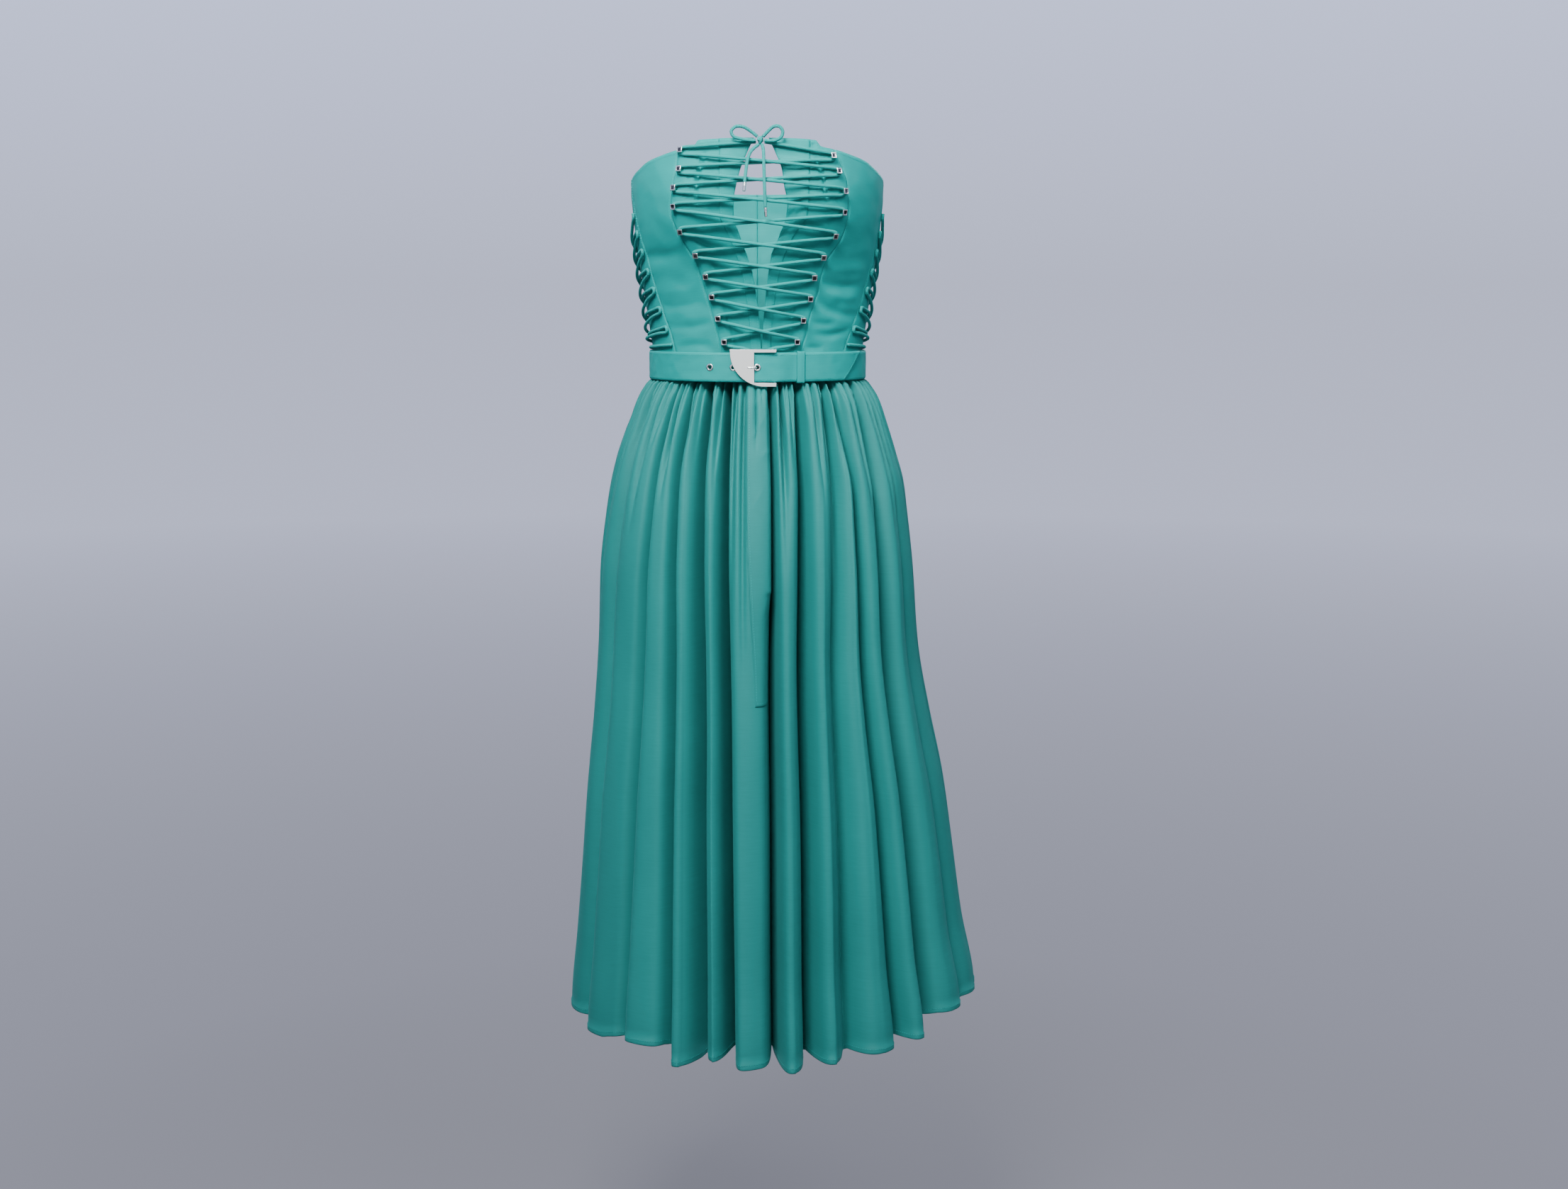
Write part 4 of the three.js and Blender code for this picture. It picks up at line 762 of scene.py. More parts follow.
# Fly placket, a straight strip of the same cloth down the left of the front, stitched along its
# left edge and its foot. It lies on the flat half of its fold, and wrinkles a little at the top.
FLY_TOP_Z = -17
FLY_FOOT_Z = -340
FLY_LIFT = 1.3
FLY_FOOT_SHARE = 0.15
FLY_CLOTH = 1
FLY_SHARES = smooth_table(
    "z left right",
    (-340, 0.58, 0.84), (-235, 0.53, 0.9), (-160, 0.5, 0.917), (-17, 0.5, 0.917),
)
# Each wrinkle runs from one share of the width and length to another, and has its own height.
FLY_WRINKLE_WIDTH = 3
FLY_WRINKLES = [
    (0.1, 0.93, 0.9, 0.975, 0.8), (0.05, 0.83, 0.7, 0.9, 0.7), (0.3, 0.77, 0.95, 0.8, 0.6),
    (0.1, 0.62, 0.6, 0.68, 0.4),
]


def fly_place(u, v):
    z = FLY_FOOT_Z + v * (FLY_TOP_Z - FLY_FOOT_Z)
    left, right = FLY_SHARES("left", z), FLY_SHARES("right", z)
    share = left + u * (right - left)
    here = skirt_point(FLY_FOLD, share, z)
    beside = skirt_point(FLY_FOLD, share + 0.01, z) - here
    below = here - skirt_point(FLY_FOLD, share, z - 0.5)
    lift = FLY_LIFT * min(1, FLY_FOOT_SHARE + 3 * v)
    for start, start_v, finish, finish_v, height in FLY_WRINKLES:
        along = (u - start) / (finish - start)
        if 0 < along < 1:
            aside = (v - start_v - along * (finish_v - start_v)) * (FLY_TOP_Z - FLY_FOOT_Z)
            aside /= FLY_WRINKLE_WIDTH
            lift += height * math.sin(math.pi * along) * math.exp(-(aside ** 2))
    return here + beside.cross(below).normalized() * lift


mesh = grid_piece(26, 130, fly_place, (0.035, 0.32))
fly = cloth_piece(mesh, skirt_look_painted_shade, "fly_placket", FLY_CLOTH)

# Belt strap, poplin over a stiffener. It starts as a loop sewn round the buckle's bar, goes round
# the back, rises over its own start, passes through the buckle and ends in a slanted tip.
BELT_HEIGHT = 30
BELT_CLOTH = 1.8
BELT_SHELL = 1.5
BELT_LEVELS = smooth_table(
    "angle lift", (8, 1.8), (296, 1.8), (343, 8.3), (370, 8.3), (380, 3.9), (430, 3.9),
)
BELT_EDGE = 1.2
BELT_EDGE_DIP = 0.7
BELT_SOFTNESS = 0.35
TAIL_TIP = {"top": 105, "bottom": 88, "slant_from": 24}
EYELETS_X = (-46, -23.4, -0.4)
EYELET = {"hole": 2.0, "outer": 4.0, "flange": 0.55, "wall": 0.4, "punched": 2.9}
BAR = {"x": 16.6, "radius": 1.0, "gap": 0.3}
PRONG_SLOT = 2.6


def belt_point(angle, z, lift):
    point = lifted(angle, 0, lift)
    point.z = z
    return point


def strap_point(angle, z, height=BELT_CLOTH):
    return belt_point(angle, z, BELT_LEVELS("lift", angle) + height)


BELT_START = angle_at(BAR["x"], 0)
BELT_TOP_END = 360 + angle_at(TAIL_TIP["top"] - 2, 0)
BELT_BOTTOM_END = 360 + angle_at(TAIL_TIP["bottom"] - 2, 0)


def strap_place(u, v):
    bottom = BELT_START + u * (BELT_BOTTOM_END - BELT_START)
    slant = min(max(1 - (BELT_BOTTOM_END - bottom) / TAIL_TIP["slant_from"], 0), 1)
    angle = bottom + v * slant * (BELT_TOP_END - BELT_BOTTOM_END)
    z = (v - 0.5) * BELT_HEIGHT
    edge = (BELT_HEIGHT / 2 - abs(z)) / BELT_EDGE
    soft = BELT_SOFTNESS * noise.noise(Vector((angle / 5, z / 9, 21)))
    return strap_point(angle, z, BELT_CLOTH + soft - BELT_EDGE_DIP * math.exp(-edge * edge))


def strap_frame(x):
    """The strap's outer face at one place across the front: where it is and which way it faces."""
    angle = 360 + angle_at(x, 0)
    along = strap_point(angle + 1, 0) - strap_point(angle - 1, 0)
    return strap_point(angle, 0), along.cross(Vector((0, 0, 1))).normalized()


def standing(origin, out):
    """The matrix that stands a shape made along +Z on a surface, with its +Y kept upright."""
    up = (Vector((0, 0, 1)) - out * out.z).normalized()
    turn = Matrix((up.cross(out), up, out)).transposed().to_4x4()
    return Matrix.Translation(origin * MM) @ turn


belt_look = poplin("belt poplin", TEAL_DEEP, TEAL_LIGHT)
mesh = grid_piece(560, 26, strap_place, (0.72, 0.03))
eyelet_centres = [strap_frame(x)[0] * MM for x in EYELETS_X]
punched = [
    face for face in mesh.faces
    if any(
        (face.calc_center_median() - centre).length < EYELET["punched"] * MM
        for centre in eyelet_centres
    )
]
bmesh.ops.delete(mesh, geom=punched, context="FACES")
loop_radius = BAR["radius"] + BAR["gap"] + BELT_CLOTH
bar_centre = belt_point(BELT_START, 0, BELT_LEVELS("lift", BELT_START) + loop_radius)
for low, high in ((-BELT_HEIGHT / 2, -PRONG_SLOT), (PRONG_SLOT, BELT_HEIGHT / 2)):
    def loop_place(u, v):
        turn = 2 * math.pi * u
        around = Vector((math.sin(turn), -math.cos(turn), 0))
        return Vector((bar_centre.x, bar_centre.y, low + v * (high - low))) + around * loop_radius
    loop_mesh = grid_piece(32, 4, loop_place, (0.02, 0.012))
    loop_data = bpy.data.meshes.new("loop")
    bmesh.ops.remove_doubles(loop_mesh, verts=loop_mesh.verts, dist=1e-6)
    loop_mesh.to_mesh(loop_data)
    mesh.from_mesh(loop_data)
    loop_mesh.free()
    bpy.data.meshes.remove(loop_data)
strap = cloth_piece(mesh, belt_look, "belt_strap", BELT_SHELL)

# Belt keeper, a narrow closed loop of the same cloth. It goes round both layers of the strap
# beside the buckle and holds the tip down.
KEEPER = {
    "x": 42.5, "width": 8, "front": 7.5, "back": 0.9, "half": 16.3, "squareness": 8, "bow": 0.175,
    "cloth": 1,
}


def keeper_place(u, v):
    """Round a rectangle with rounded corners, from the middle of its front, up and over."""
    angle = angle_at(KEEPER["x"], 0)
    seat, out = bodice_point(angle, 0), outward(bodice_point, angle, 0)
    side = Vector((0, 0, 1)).cross(out)
    turn = 2 * math.pi * u
    deep, high = (KEEPER["front"] - KEEPER["back"]) / 2, KEEPER["half"]
    away = Vector((math.cos(turn), math.sin(turn)))
    square = KEEPER["squareness"]
    power = (abs(away.x) ** square + abs(away.y) ** square) ** (-1 / square)
    x = (KEEPER["front"] + KEEPER["back"]) / 2 + away.x * power * deep
    z = away.y * power * high
    rise = x + KEEPER["bow"] * math.cos(2 * math.pi * (v - 0.5)) * abs(away.x)
    return seat + out * rise + Vector((0, 0, z)) + side * (v - 0.5) * KEEPER["width"]


mesh = grid_piece(128, 12, keeper_place, (0.08, 0.008))
bmesh.ops.remove_doubles(mesh, verts=mesh.verts, dist=1e-6)
bmesh.ops.recalc_face_normals(mesh, faces=mesh.faces)
keeper = cloth_piece(mesh, belt_look, "belt_keeper", KEEPER["cloth"])

# Belt hardware, polished nickel: three set eyelets, and a flat half-moon buckle whose arms turn
# back to hold the bar.
scuffs, scuffs_in, scuffs_out = node_group(
    "nickel scuffs", {"Vector": "NodeSocketVector"},
    {"Roughness": "NodeSocketFloat", "Height": "NodeSocketFloat"},
)
scuff_stretch = scuffs.nodes.new("ShaderNodeMapping")
scuff_stretch.inputs["Rotation"].default_value = (0.2, 0.7, 0.4)
scuff_stretch.inputs["Scale"].default_value = (1, 1, 9)
scuffs.links.new(scuffs_in.outputs["Vector"], scuff_stretch.inputs["Vector"])
scuff_marks = noise_node(scuffs, scuff_stretch.outputs["Vector"], 240, 5)
scuff_level = math_node(scuffs, "MULTIPLY", scuff_marks, 0.16)
scuffs.links.new(math_node(scuffs, "ADD", scuff_level, 0.07), scuffs_out.inputs["Roughness"])
scuffs.links.new(scuff_marks, scuffs_out.inputs["Height"])


def nickel(name, colour):
    look, tree, shader = new_look(name)
    place = tree.nodes.new("ShaderNodeTexCoord")
    wear = tree.nodes.new("ShaderNodeGroup")
    wear.node_tree = scuffs
    tree.links.new(place.outputs["Object"], wear.inputs["Vector"])
    tree.links.new(wear.outputs["Roughness"], shader.inputs["Roughness"])
    add_bump(tree, shader, wear.outputs["Height"], 0.08, 0.00003)
    shader.inputs["Base Color"].default_value = colour
    shader.inputs["Metallic"].default_value = 1
    return look


nickel_look = nickel("polished nickel", (0.82, 0.84, 0.80, 1))
# This near-black copy of the nickel is a painted dark reflection, used on the studs' sunk squares.
painted_reflection_look = nickel("nickel with painted dark reflection", (0.10, 0.10, 0.105, 1))


def metal_piece(mesh, node):
    bmesh.ops.recalc_face_normals(mesh, faces=mesh.faces)
    return piece_from(f"{node}_metal", mesh, nickel_look, node)


for number, x in enumerate(EYELETS_X, 1):
    hole, outer, flange = EYELET["hole"], EYELET["outer"], EYELET["flange"]
    profile = [
        (hole, -BELT_CLOTH), (hole, flange * 0.7), (hole + 0.25, flange), (hole + 0.9, flange * 1.1),
        (outer - 0.6, flange * 0.8), (outer, 0.1), (outer - 0.3, 0), (hole + EYELET["wall"], 0),
        (hole + EYELET["wall"], -BELT_CLOTH),
    ]
    mesh = bmesh.new()
    ring = [mesh.verts.new((radius * MM, 0, height * MM)) for radius, height in profile]
    edges = [mesh.edges.new(pair) for pair in zip(ring, ring[1:] + ring[:1])]
    bmesh.ops.spin(
        mesh, geom=ring + edges, axis=(0, 0, 1), cent=(0, 0, 0), dvec=(0, 0, 0),
        angle=2 * math.pi, steps=40, use_merge=True, use_duplicate=False,
    )
    bmesh.ops.transform(mesh, matrix=standing(*strap_frame(x)), verts=mesh.verts)
    metal_piece(mesh, f"belt_eyelet_{number}")

BUCKLE = {
    "left": -28.5, "right": 19, "top": 18.6, "bottom": -19.4, "plate_right": -3.5, "arm": 15.3,
    "thick": 1.8, "arc_x": 7, "arc_z": 16, "arc_radius": 35.4, "rim": 0.35,
}
BUCKLE_ARM_END = {"x": 2.6, "z": 1.6, "past": 1}
PLATE_BACK_Y = -92.9
ARC_STEPS = 28
ARC_TURN = (0.985, 1.5)
outline = [(BUCKLE["right"], BUCKLE["top"]), (BUCKLE["left"], BUCKLE["top"])]
for step in range(ARC_STEPS + 1):
    turn = math.pi * (ARC_TURN[0] + step / ARC_STEPS * (ARC_TURN[1] - ARC_TURN[0]))
    outline.append((
        BUCKLE["arc_x"] + BUCKLE["arc_radius"] * math.cos(turn),
        BUCKLE["arc_z"] + BUCKLE["arc_radius"] * math.sin(turn),
    ))
outline += [
    (BUCKLE["right"], BUCKLE["bottom"]), (BUCKLE["right"], -BUCKLE["arm"]),
    (BUCKLE["plate_right"], -BUCKLE["arm"]), (BUCKLE["plate_right"], BUCKLE["arm"]),
    (BUCKLE["right"], BUCKLE["arm"]),
]
mesh = bmesh.new()
corners = [mesh.verts.new((x * MM, PLATE_BACK_Y * MM, z * MM)) for x, z in outline]
plate = mesh.faces.new(corners)
raised = bmesh.ops.extrude_face_region(mesh, geom=[plate])
bmesh.ops.translate(
    mesh, vec=(0, -BUCKLE["thick"] * MM, 0),
    verts=[part for part in raised["geom"] if isinstance(part, bmesh.types.BMVert)],
)
bmesh.ops.recalc_face_normals(mesh, faces=mesh.faces)
rims = [edge for edge in mesh.edges if abs(edge.verts[0].co.y - edge.verts[1].co.y) < 1e-7]
bmesh.ops.bevel(
    mesh, geom=rims, offset=BUCKLE["rim"] * MM, offset_type="OFFSET", segments=3, profile=0.5,
    affect="EDGES", material=-1, clamp_overlap=True,
)
arm_depth = bar_centre.y + BAR["radius"] - PLATE_BACK_Y
for end in (-1, 1):
    turned_end = bmesh.ops.create_cube(mesh, size=1)["verts"]
    bmesh.ops.scale(mesh, verts=turned_end, vec=Vector((
        BUCKLE_ARM_END["x"], arm_depth + BUCKLE_ARM_END["past"], BUCKLE_ARM_END["z"],
    )) * MM)
    bmesh.ops.translate(mesh, verts=turned_end, vec=Vector((
        bar_centre.x, PLATE_BACK_Y + (arm_depth - BUCKLE_ARM_END["past"]) / 2,
        end * (BUCKLE["arm"] + BUCKLE_ARM_END["z"] / 2),
    )) * MM)
rod = bmesh.ops.create_cone(
    mesh, cap_ends=True, segments=24, radius1=BAR["radius"] * MM, radius2=BAR["radius"] * MM,
    depth=2 * (BUCKLE["arm"] + 1) * MM,
)["verts"]
bmesh.ops.translate(mesh, verts=rod, vec=Vector((bar_centre.x, bar_centre.y, 0)) * MM)
buckle = metal_piece(mesh, "belt_buckle")
buckle.modifiers.new("flat faces", "WEIGHTED_NORMAL").keep_sharp = True


# Belt prong, a bent nickel wire. It turns on the bar in a sleeve, comes up through the third
# eyelet and lies on the plate. Like the laces, it is a round tube through given points.
def through(points, step=1.4):
    """A smooth curve through the points (a centripetal spline), with a point every few steps."""
    ends = [2 * points[0] - points[1], *points, 2 * points[-1] - points[-2]]
    route = []
    for before, start, finish, after in zip(ends, ends[1:], ends[2:], ends[3:]):
        gaps = [math.sqrt((b - a).length) for a, b in ((before, start), (start, finish), (finish, after))]
        slopes = [(start - before) / gaps[0], (finish - start) / gaps[1], (after - finish) / gaps[2]]
        leave = (slopes[0] - (finish - before) / (gaps[0] + gaps[1]) + slopes[1]) * gaps[1]
        arrive = (slopes[1] - (after - start) / (gaps[1] + gaps[2]) + slopes[2]) * gaps[1]
        count = max(1, round((finish - start).length / step))
        for k in range(count):
            t = k / count
            s = 1 - t
            route.append(
                start * (1 + 2 * t) * s * s + finish * t * t * (3 - 2 * t)
                + leave * t * s * s - arrive * t * t * s
            )
    return [*route, points[-1]]


def tube(route, radius, sides, taper=None):
    """A tube of round section along a route, with the seam along it welded and its ends closed.
    taper gives the radius's share from 0 to 1 along it."""
    last = len(route) - 1
    along = [(route[min(i + 1, last)] - route[max(i - 1, 0)]).normalized() for i in range(last + 1)]
    side = along[0].orthogonal().normalized()
    frames = []
    for direction in along:
        side = (side - direction * side.dot(direction)).normalized()
        frames.append((side, direction.cross(side)))
    length = sum((b - a).length for a, b in zip(route, route[1:])) * MM

    def place(u, v):
        i = round(v * last)
        turn = 2 * math.pi * u
        size = radius * (taper(v) if taper else 1)
        return route[i] + (frames[i][0] * math.cos(turn) + frames[i][1] * math.sin(turn)) * size

    mesh = grid_piece(sides, last, place, (1, length))
    bmesh.ops.remove_doubles(mesh, verts=mesh.verts, dist=1e-6)
    rims = [edge for edge in mesh.edges if edge.is_boundary]
    bmesh.ops.holes_fill(mesh, edges=rims, sides=0)
    bmesh.ops.recalc_face_normals(mesh, faces=mesh.faces)
    return mesh


PRONG_RADIUS = 0.95
PRONG_SLEEVE = {"radius": 1.9, "length": 4.4}
PRONG_ROUTE = [
    Vector(place) for place in (
        (bar_centre.x - 1.6, bar_centre.y - 0.4, 0), (9, -87.5, 0), (4.3, -88.2, 0), (1.8, -88.7, 0),
        (-0.4, -91.3, 0), (-2.1, -94.8, 0), (-3.6, -96, 0), (-6, -96.1, 0), (-10.5, -96, 0),
    )
]


def prong_taper(v):
    """The prong's last tenth narrows to a blunt tip."""
    return 1 - 0.45 * max(0, (v - 0.9) / 0.1) ** 2


mesh = tube(through(PRONG_ROUTE, 0.6), PRONG_RADIUS, 14, prong_taper)
sleeve = bmesh.ops.create_cone(
    mesh, cap_ends=True, segments=28, radius1=PRONG_SLEEVE["radius"] * MM,
    radius2=PRONG_SLEEVE["radius"] * MM, depth=PRONG_SLEEVE["length"] * MM,
)["verts"]
bmesh.ops.translate(mesh, verts=sleeve, vec=Vector((bar_centre.x, bar_centre.y, 0)) * MM)
metal_piece(mesh, "belt_prong")

# Hook studs, ten a side, cast nickel: a small square cap on a post, with a bright bevelled rim
# round a sunk square, near black as a painted dark reflection. The lace is hooked under the caps.
STUD_ROWS = [
    {"left": (75, 216), "right": (74, 210)}, {"left": (76, 197), "right": (79, 195)},
    {"left": (81, 179), "right": (85, 176)}, {"left": (81, 161), "right": (84, 156)},
    {"left": (75, 138), "right": (76, 134)}, {"left": (61, 115), "right": (65, 113)},
    {"left": (51, 93), "right": (56, 92)}, {"left": (45, 72), "right": (52, 70)},
    {"left": (39, 50), "right": (45, 48)}, {"left": (33, 26), "right": (39, 26)},
]
SIGN = {"left": -1, "right": 1}
OTHER = {"left": "right", "right": "left"}
STUD = {
    "cap": 6, "height": 2.6, "post": 0.8, "lift": 0.3, "edge": 0.4, "rim": 0.75, "slope": 0.3,
    "sunk": 0.5,
}
LACE_RADIUS = 1.7
POST_HEIGHT = 2 * LACE_RADIUS + 0.6


def cloth_frame(x, z):
    angle = angle_at(x, z)
    return lifted(angle, z, STUD["lift"]), outward(bodice_point, angle, z)


def stud_place(side, row):
    x, z = STUD_ROWS[row][side]
    return SIGN[side] * x, z


for side in SIGN:
    for row in range(len(STUD_ROWS)):
        mesh = bmesh.new()
        cap = bmesh.ops.create_cube(mesh, size=1)["verts"]
        bmesh.ops.scale(mesh, verts=cap, vec=Vector((STUD["cap"], STUD["cap"], STUD["height"])) * MM)
        bmesh.ops.translate(mesh, verts=cap, vec=(0, 0, (POST_HEIGHT + STUD["height"] / 2) * MM))
        bmesh.ops.bevel(
            mesh, geom=mesh.edges[:], offset=STUD["edge"] * MM, offset_type="OFFSET", segments=1,
            profile=0.5, affect="EDGES", material=-1, clamp_overlap=True,
        )
        top = max(mesh.faces, key=lambda face: face.calc_center_median().z + face.calc_area())
        for inset, sunk in ((STUD["rim"], 0), (STUD["slope"], STUD["sunk"])):
            bmesh.ops.inset_region(mesh, faces=[top], thickness=inset * MM, depth=-sunk * MM)
        # The sunk square takes the second material, the painted dark reflection.
        top.material_index = 1
        post = bmesh.ops.create_cone(
            mesh, cap_ends=True, segments=16, radius1=STUD["post"] * MM, radius2=STUD["post"] * MM,
            depth=POST_HEIGHT * MM,
        )["verts"]
        bmesh.ops.translate(mesh, verts=post, vec=(0, 0, POST_HEIGHT / 2 * MM))
        bmesh.ops.transform(mesh, matrix=standing(*cloth_frame(*stud_place(side, row))), verts=mesh.verts)
        stud = metal_piece(mesh, f"stud_{side}_{row + 1}")
        stud.data.materials.append(painted_reflection_look)
        stud.modifiers.new("flat faces", "WEIGHTED_NORMAL")

# Front lace, one soft round cotton braid. Both halves start in the bow, hook under the studs from
# side to side, cross in the middle and end behind the belt.
braid, braid_in, braid_out = node_group(
    "round braid", {"Vector": "NodeSocketVector"},
    {"Height": "NodeSocketFloat", "Fuzz": "NodeSocketFloat"},
)
BRAID_STRANDS = 4
BRAID_PITCH = 0.0052
braid_split = braid.nodes.new("ShaderNodeSeparateXYZ")
braid.links.new(braid_in.outputs["Vector"], braid_split.inputs[0])
strand_turns = 2 * math.pi * BRAID_STRANDS
braid_round = math_node(braid, "MULTIPLY", braid_split.outputs[0], strand_turns)
braid_along = math_node(braid, "MULTIPLY", braid_split.outputs[1], strand_turns / BRAID_PITCH)
one_way = math_node(braid, "SINE", math_node(braid, "ADD", braid_round, braid_along))
other_way = math_node(braid, "SINE", math_node(braid, "SUBTRACT", braid_round, braid_along))
braid.links.new(math_node(braid, "MULTIPLY", one_way, other_way), braid_out.inputs["Height"])
braid.links.new(noise_node(braid, braid_in.outputs["Vector"], 900, 3), braid_out.inputs["Fuzz"])

LACE_DEEP = (0.002, 0.250, 0.235, 1)
LACE_LIGHT = (0.016, 0.430, 0.405, 1)
lace_look, lace_tree, lace_shader = new_look("braided lace")
lace_place = lace_tree.nodes.new("ShaderNodeTexCoord")
lace_braid = lace_tree.nodes.new("ShaderNodeGroup")
lace_braid.node_tree = braid
lace_tree.links.new(lace_place.outputs["UV"], lace_braid.inputs["Vector"])
# Painted shade: the braid's strand crowns are coloured lighter and the grooves between them darker. The
# fuzz added to it is the yarn's own uneven tone, and the same sum also raises the bump.
painted_strand_shade = math_node(lace_tree, "MULTIPLY", lace_braid.outputs["Height"], 0.3)
lace_shade = math_node(lace_tree, "ADD", painted_strand_shade, lace_braid.outputs["Fuzz"])
lace_colour = colour_node(lace_tree, lace_shade, LACE_DEEP, LACE_LIGHT)
lace_tree.links.new(lace_colour, lace_shader.inputs["Base Color"])
add_bump(lace_tree, lace_shader, lace_shade, 0.7, 0.0003)
lace_shader.inputs["Roughness"].default_value = 0.85
lace_shader.inputs["Sheen Weight"].default_value = 0.12
lace_shader.inputs["Sheen Roughness"].default_value = 0.5
lace_shader.inputs["Sheen Tint"].default_value = (0.2, 0.95, 0.92, 1)
lace_shader.inputs["Specular IOR Level"].default_value = 0.25


def lace_piece(node, route, radius=LACE_RADIUS, sides=12):
    return piece_from(f"{node}_cord", tube(route, radius, sides), lace_look, node)


LACE_CLEARANCE = 0.3
LACE_LIFT = STUD["lift"] + LACE_CLEARANCE + LACE_RADIUS
CROSS_LIFT = 2 * LACE_RADIUS + 0.6
RUN_RISE = 2.0
HOOK_RADIUS = 3.2
HOOK_TURNS = (95, 32, -32, -95)
BOW_KNOT = Vector((3, -106, 226))
LACE_END = ((25, 20.6), (16, 19.4), (9, 16.6), (5, 12.6), (2.4, 11), (0.15, 11))
LACE_END_X = 1


def hook_points(side, row):
    """The half circle that the lace makes round a stud's post, from above it to below it."""
    origin, out = cloth_frame(*stud_place(side, row))
    up = (Vector((0, 0, 1)) - out * out.z).normalized()
    aside = up.cross(out) * SIGN[side]
    points = []
    for turn in map(math.radians, HOOK_TURNS):
        round_post = aside * math.cos(turn) + up * math.sin(turn)
        points.append(origin + out * (LACE_LIFT - STUD["lift"]) + round_post * HOOK_RADIUS)
    return points


def run_points(start, finish, over):
    """Between two hooks the lace is pulled tight over the body, and over the other half of it."""
    count = 8 if abs(finish.x - start.x) > 100 else 6
    points = [start]
    for step in range(1, count):
        flat = start.lerp(finish, step / count)
        depth = lifted(angle_at(flat.x, flat.z), flat.z, LACE_LIFT + RUN_RISE).y
        points.append(Vector((flat.x, depth, flat.z)))
    points.append(finish)
    tight = [point.copy() for point in points]
    for i in range(1, count):
        for a in range(i):
            for b in range(i + 1, count + 1):
                share = (i - a) / (b - a)
                tight[i].y = min(tight[i].y, points[a].y + share * (points[b].y - points[a].y))
        near = min(max((0.5 - abs(i / count - 0.5) - 0.12) / 0.28, 0), 1)
        tight[i].y -= over * near * near * (3 - 2 * near)
    return tight[1:-1]


def lace_half(first_side, starts_over):
    side = first_side
    hook = hook_points(side, 0)
    start = BOW_KNOT + Vector((SIGN[first_side] * 4.4, 2.6, -1.4))
    route = [start, *run_points(start, hook[0], 0), *hook]
    for row in range(1, len(STUD_ROWS)):
        side = OTHER[side]
        after = hook_points(side, row)
        is_over = (row % 2 == 1) == starts_over
        route += [*run_points(hook[3], after[0], CROSS_LIFT if is_over else 0), *after]
        hook = after
    middle = lifted(0, 0, LACE_LIFT + RUN_RISE).y
    route += [Vector((LACE_END_X + SIGN[side] * out, middle + out * 0.06, z)) for out, z in LACE_END]
    return through(route)


lace_piece("lace_first_half", lace_half("left", True))
lace_piece("lace_second_half", lace_half("right", False))

# Bow: a small wrapped knot, two loops held by it, and two free ends that hang over the open
# middle. Each end is closed with a crimped metal tip.
KNOT_TURNS = 1.6
KNOT_STEPS = 34
KNOT_WIDTH = 3.4
KNOT_HALF_DEPTH = 2.4
KNOT_HALF_HEIGHT = 2.7
KNOT_CORD_RADIUS = 1.6
knot_route = []
for step in range(KNOT_STEPS + 1):
    turn = 2 * math.pi * KNOT_TURNS * step / KNOT_STEPS
    shift = (step / KNOT_STEPS - 0.5) * KNOT_WIDTH
    knot_route.append(BOW_KNOT + Vector((
        shift, -KNOT_HALF_DEPTH * math.cos(turn), KNOT_HALF_HEIGHT * math.sin(turn) + shift * 0.3,
    )))
lace_piece("bow_knot", knot_route, KNOT_CORD_RADIUS)
BOW_LOOPS = {
    "bow_loop_left": [
        (0.1, -106.6, 229.7), (-6, -107.5, 234.5), (-14, -108.4, 239), (-21.5, -108.8, 239.2),
        (-25.8, -108.8, 235), (-24, -108.8, 230), (-16, -108.9, 227.2), (-8, -108.9, 226),
        (-1.9, -108.3, 225.9),
    ],
    "bow_loop_right": [
        (5.7, -106.6, 229.5), (11, -107.6, 235), (16.5, -108.6, 239.4), (22, -109, 239.4),
        (25.4, -109, 234.8), (24, -109, 229.4), (18.5, -109, 226), (13, -109, 225.2),
        (7.3, -107.9, 225.9),
    ],
}
BOW_ENDS = {
    "short": [
        (1.2, -107.8, 221.6), (-2.4, -110.2, 219), (-6.8, -113.2, 214.2), (-9.6, -116.4, 206.5),
        (-11, -118.8, 198), (-12, -120.6, 190), (-12.5, -121.4, 184.5),
    ],
    "long": [
        (4.6, -109, 221.9), (6, -112, 217), (6.4, -115.6, 209), (6.6, -118.6, 199),
        (6.9, -120.8, 189), (7.2, -122, 178), (7.6, -122.4, 168), (8, -122.2, 159.5),
    ],
}
TIP_LENGTH = 9
TIP_RADIUS = 1.75
TIP_STEPS = 24
TIP_CRIMPS = (0.12, 0.3)


def crimped(v):
    """A tip narrows a little towards its end and is pressed in at its crimps."""
    pressed = sum(math.exp(-(((v - spot) / 0.03) ** 2)) for spot in TIP_CRIMPS)
    return (1 - 0.14 * v) * (1 - 0.1 * pressed)


for node, places in BOW_LOOPS.items():
    lace_piece(node, through([Vector(place) for place in places]))
for end, places in BOW_ENDS.items():
    points = [Vector(place) for place in places]
    route = through(points)
    cord = lace_piece(f"bow_end_{end}", route)
    along = (points[-1] - points[-2]).normalized()
    tip_route = [
        points[-1] + along * (0.1 + TIP_LENGTH * step / TIP_STEPS) for step in range(TIP_STEPS + 1)
    ]
    tip = metal_piece(tube(tip_route, TIP_RADIUS, 20, crimped), f"bow_tip_{end}")

# Side laces: on each side two cords of the same braid cross over the side panel, from the seam in
# front of it to the seam behind it.
SIDE_LACE_RADIUS = 1.7
SIDE_LACE_ROWS_Z = (155, 136, 117, 97, 78, 58, 38, 20)
SIDE_LACE_LOW = SIDE_LACE_RADIUS + 0.2
SIDE_LACE_OVER = 2 * SIDE_LACE_RADIUS - 0.4
SIDE_LACE_TURN = 2.1
SIDE_LACE_DROP = 34
SIDE_LACE_END_Z = 16
SIDE_LACE_SHARES = (0.12, 0.25, 0.38, 0.5, 0.62, 0.75, 0.88)


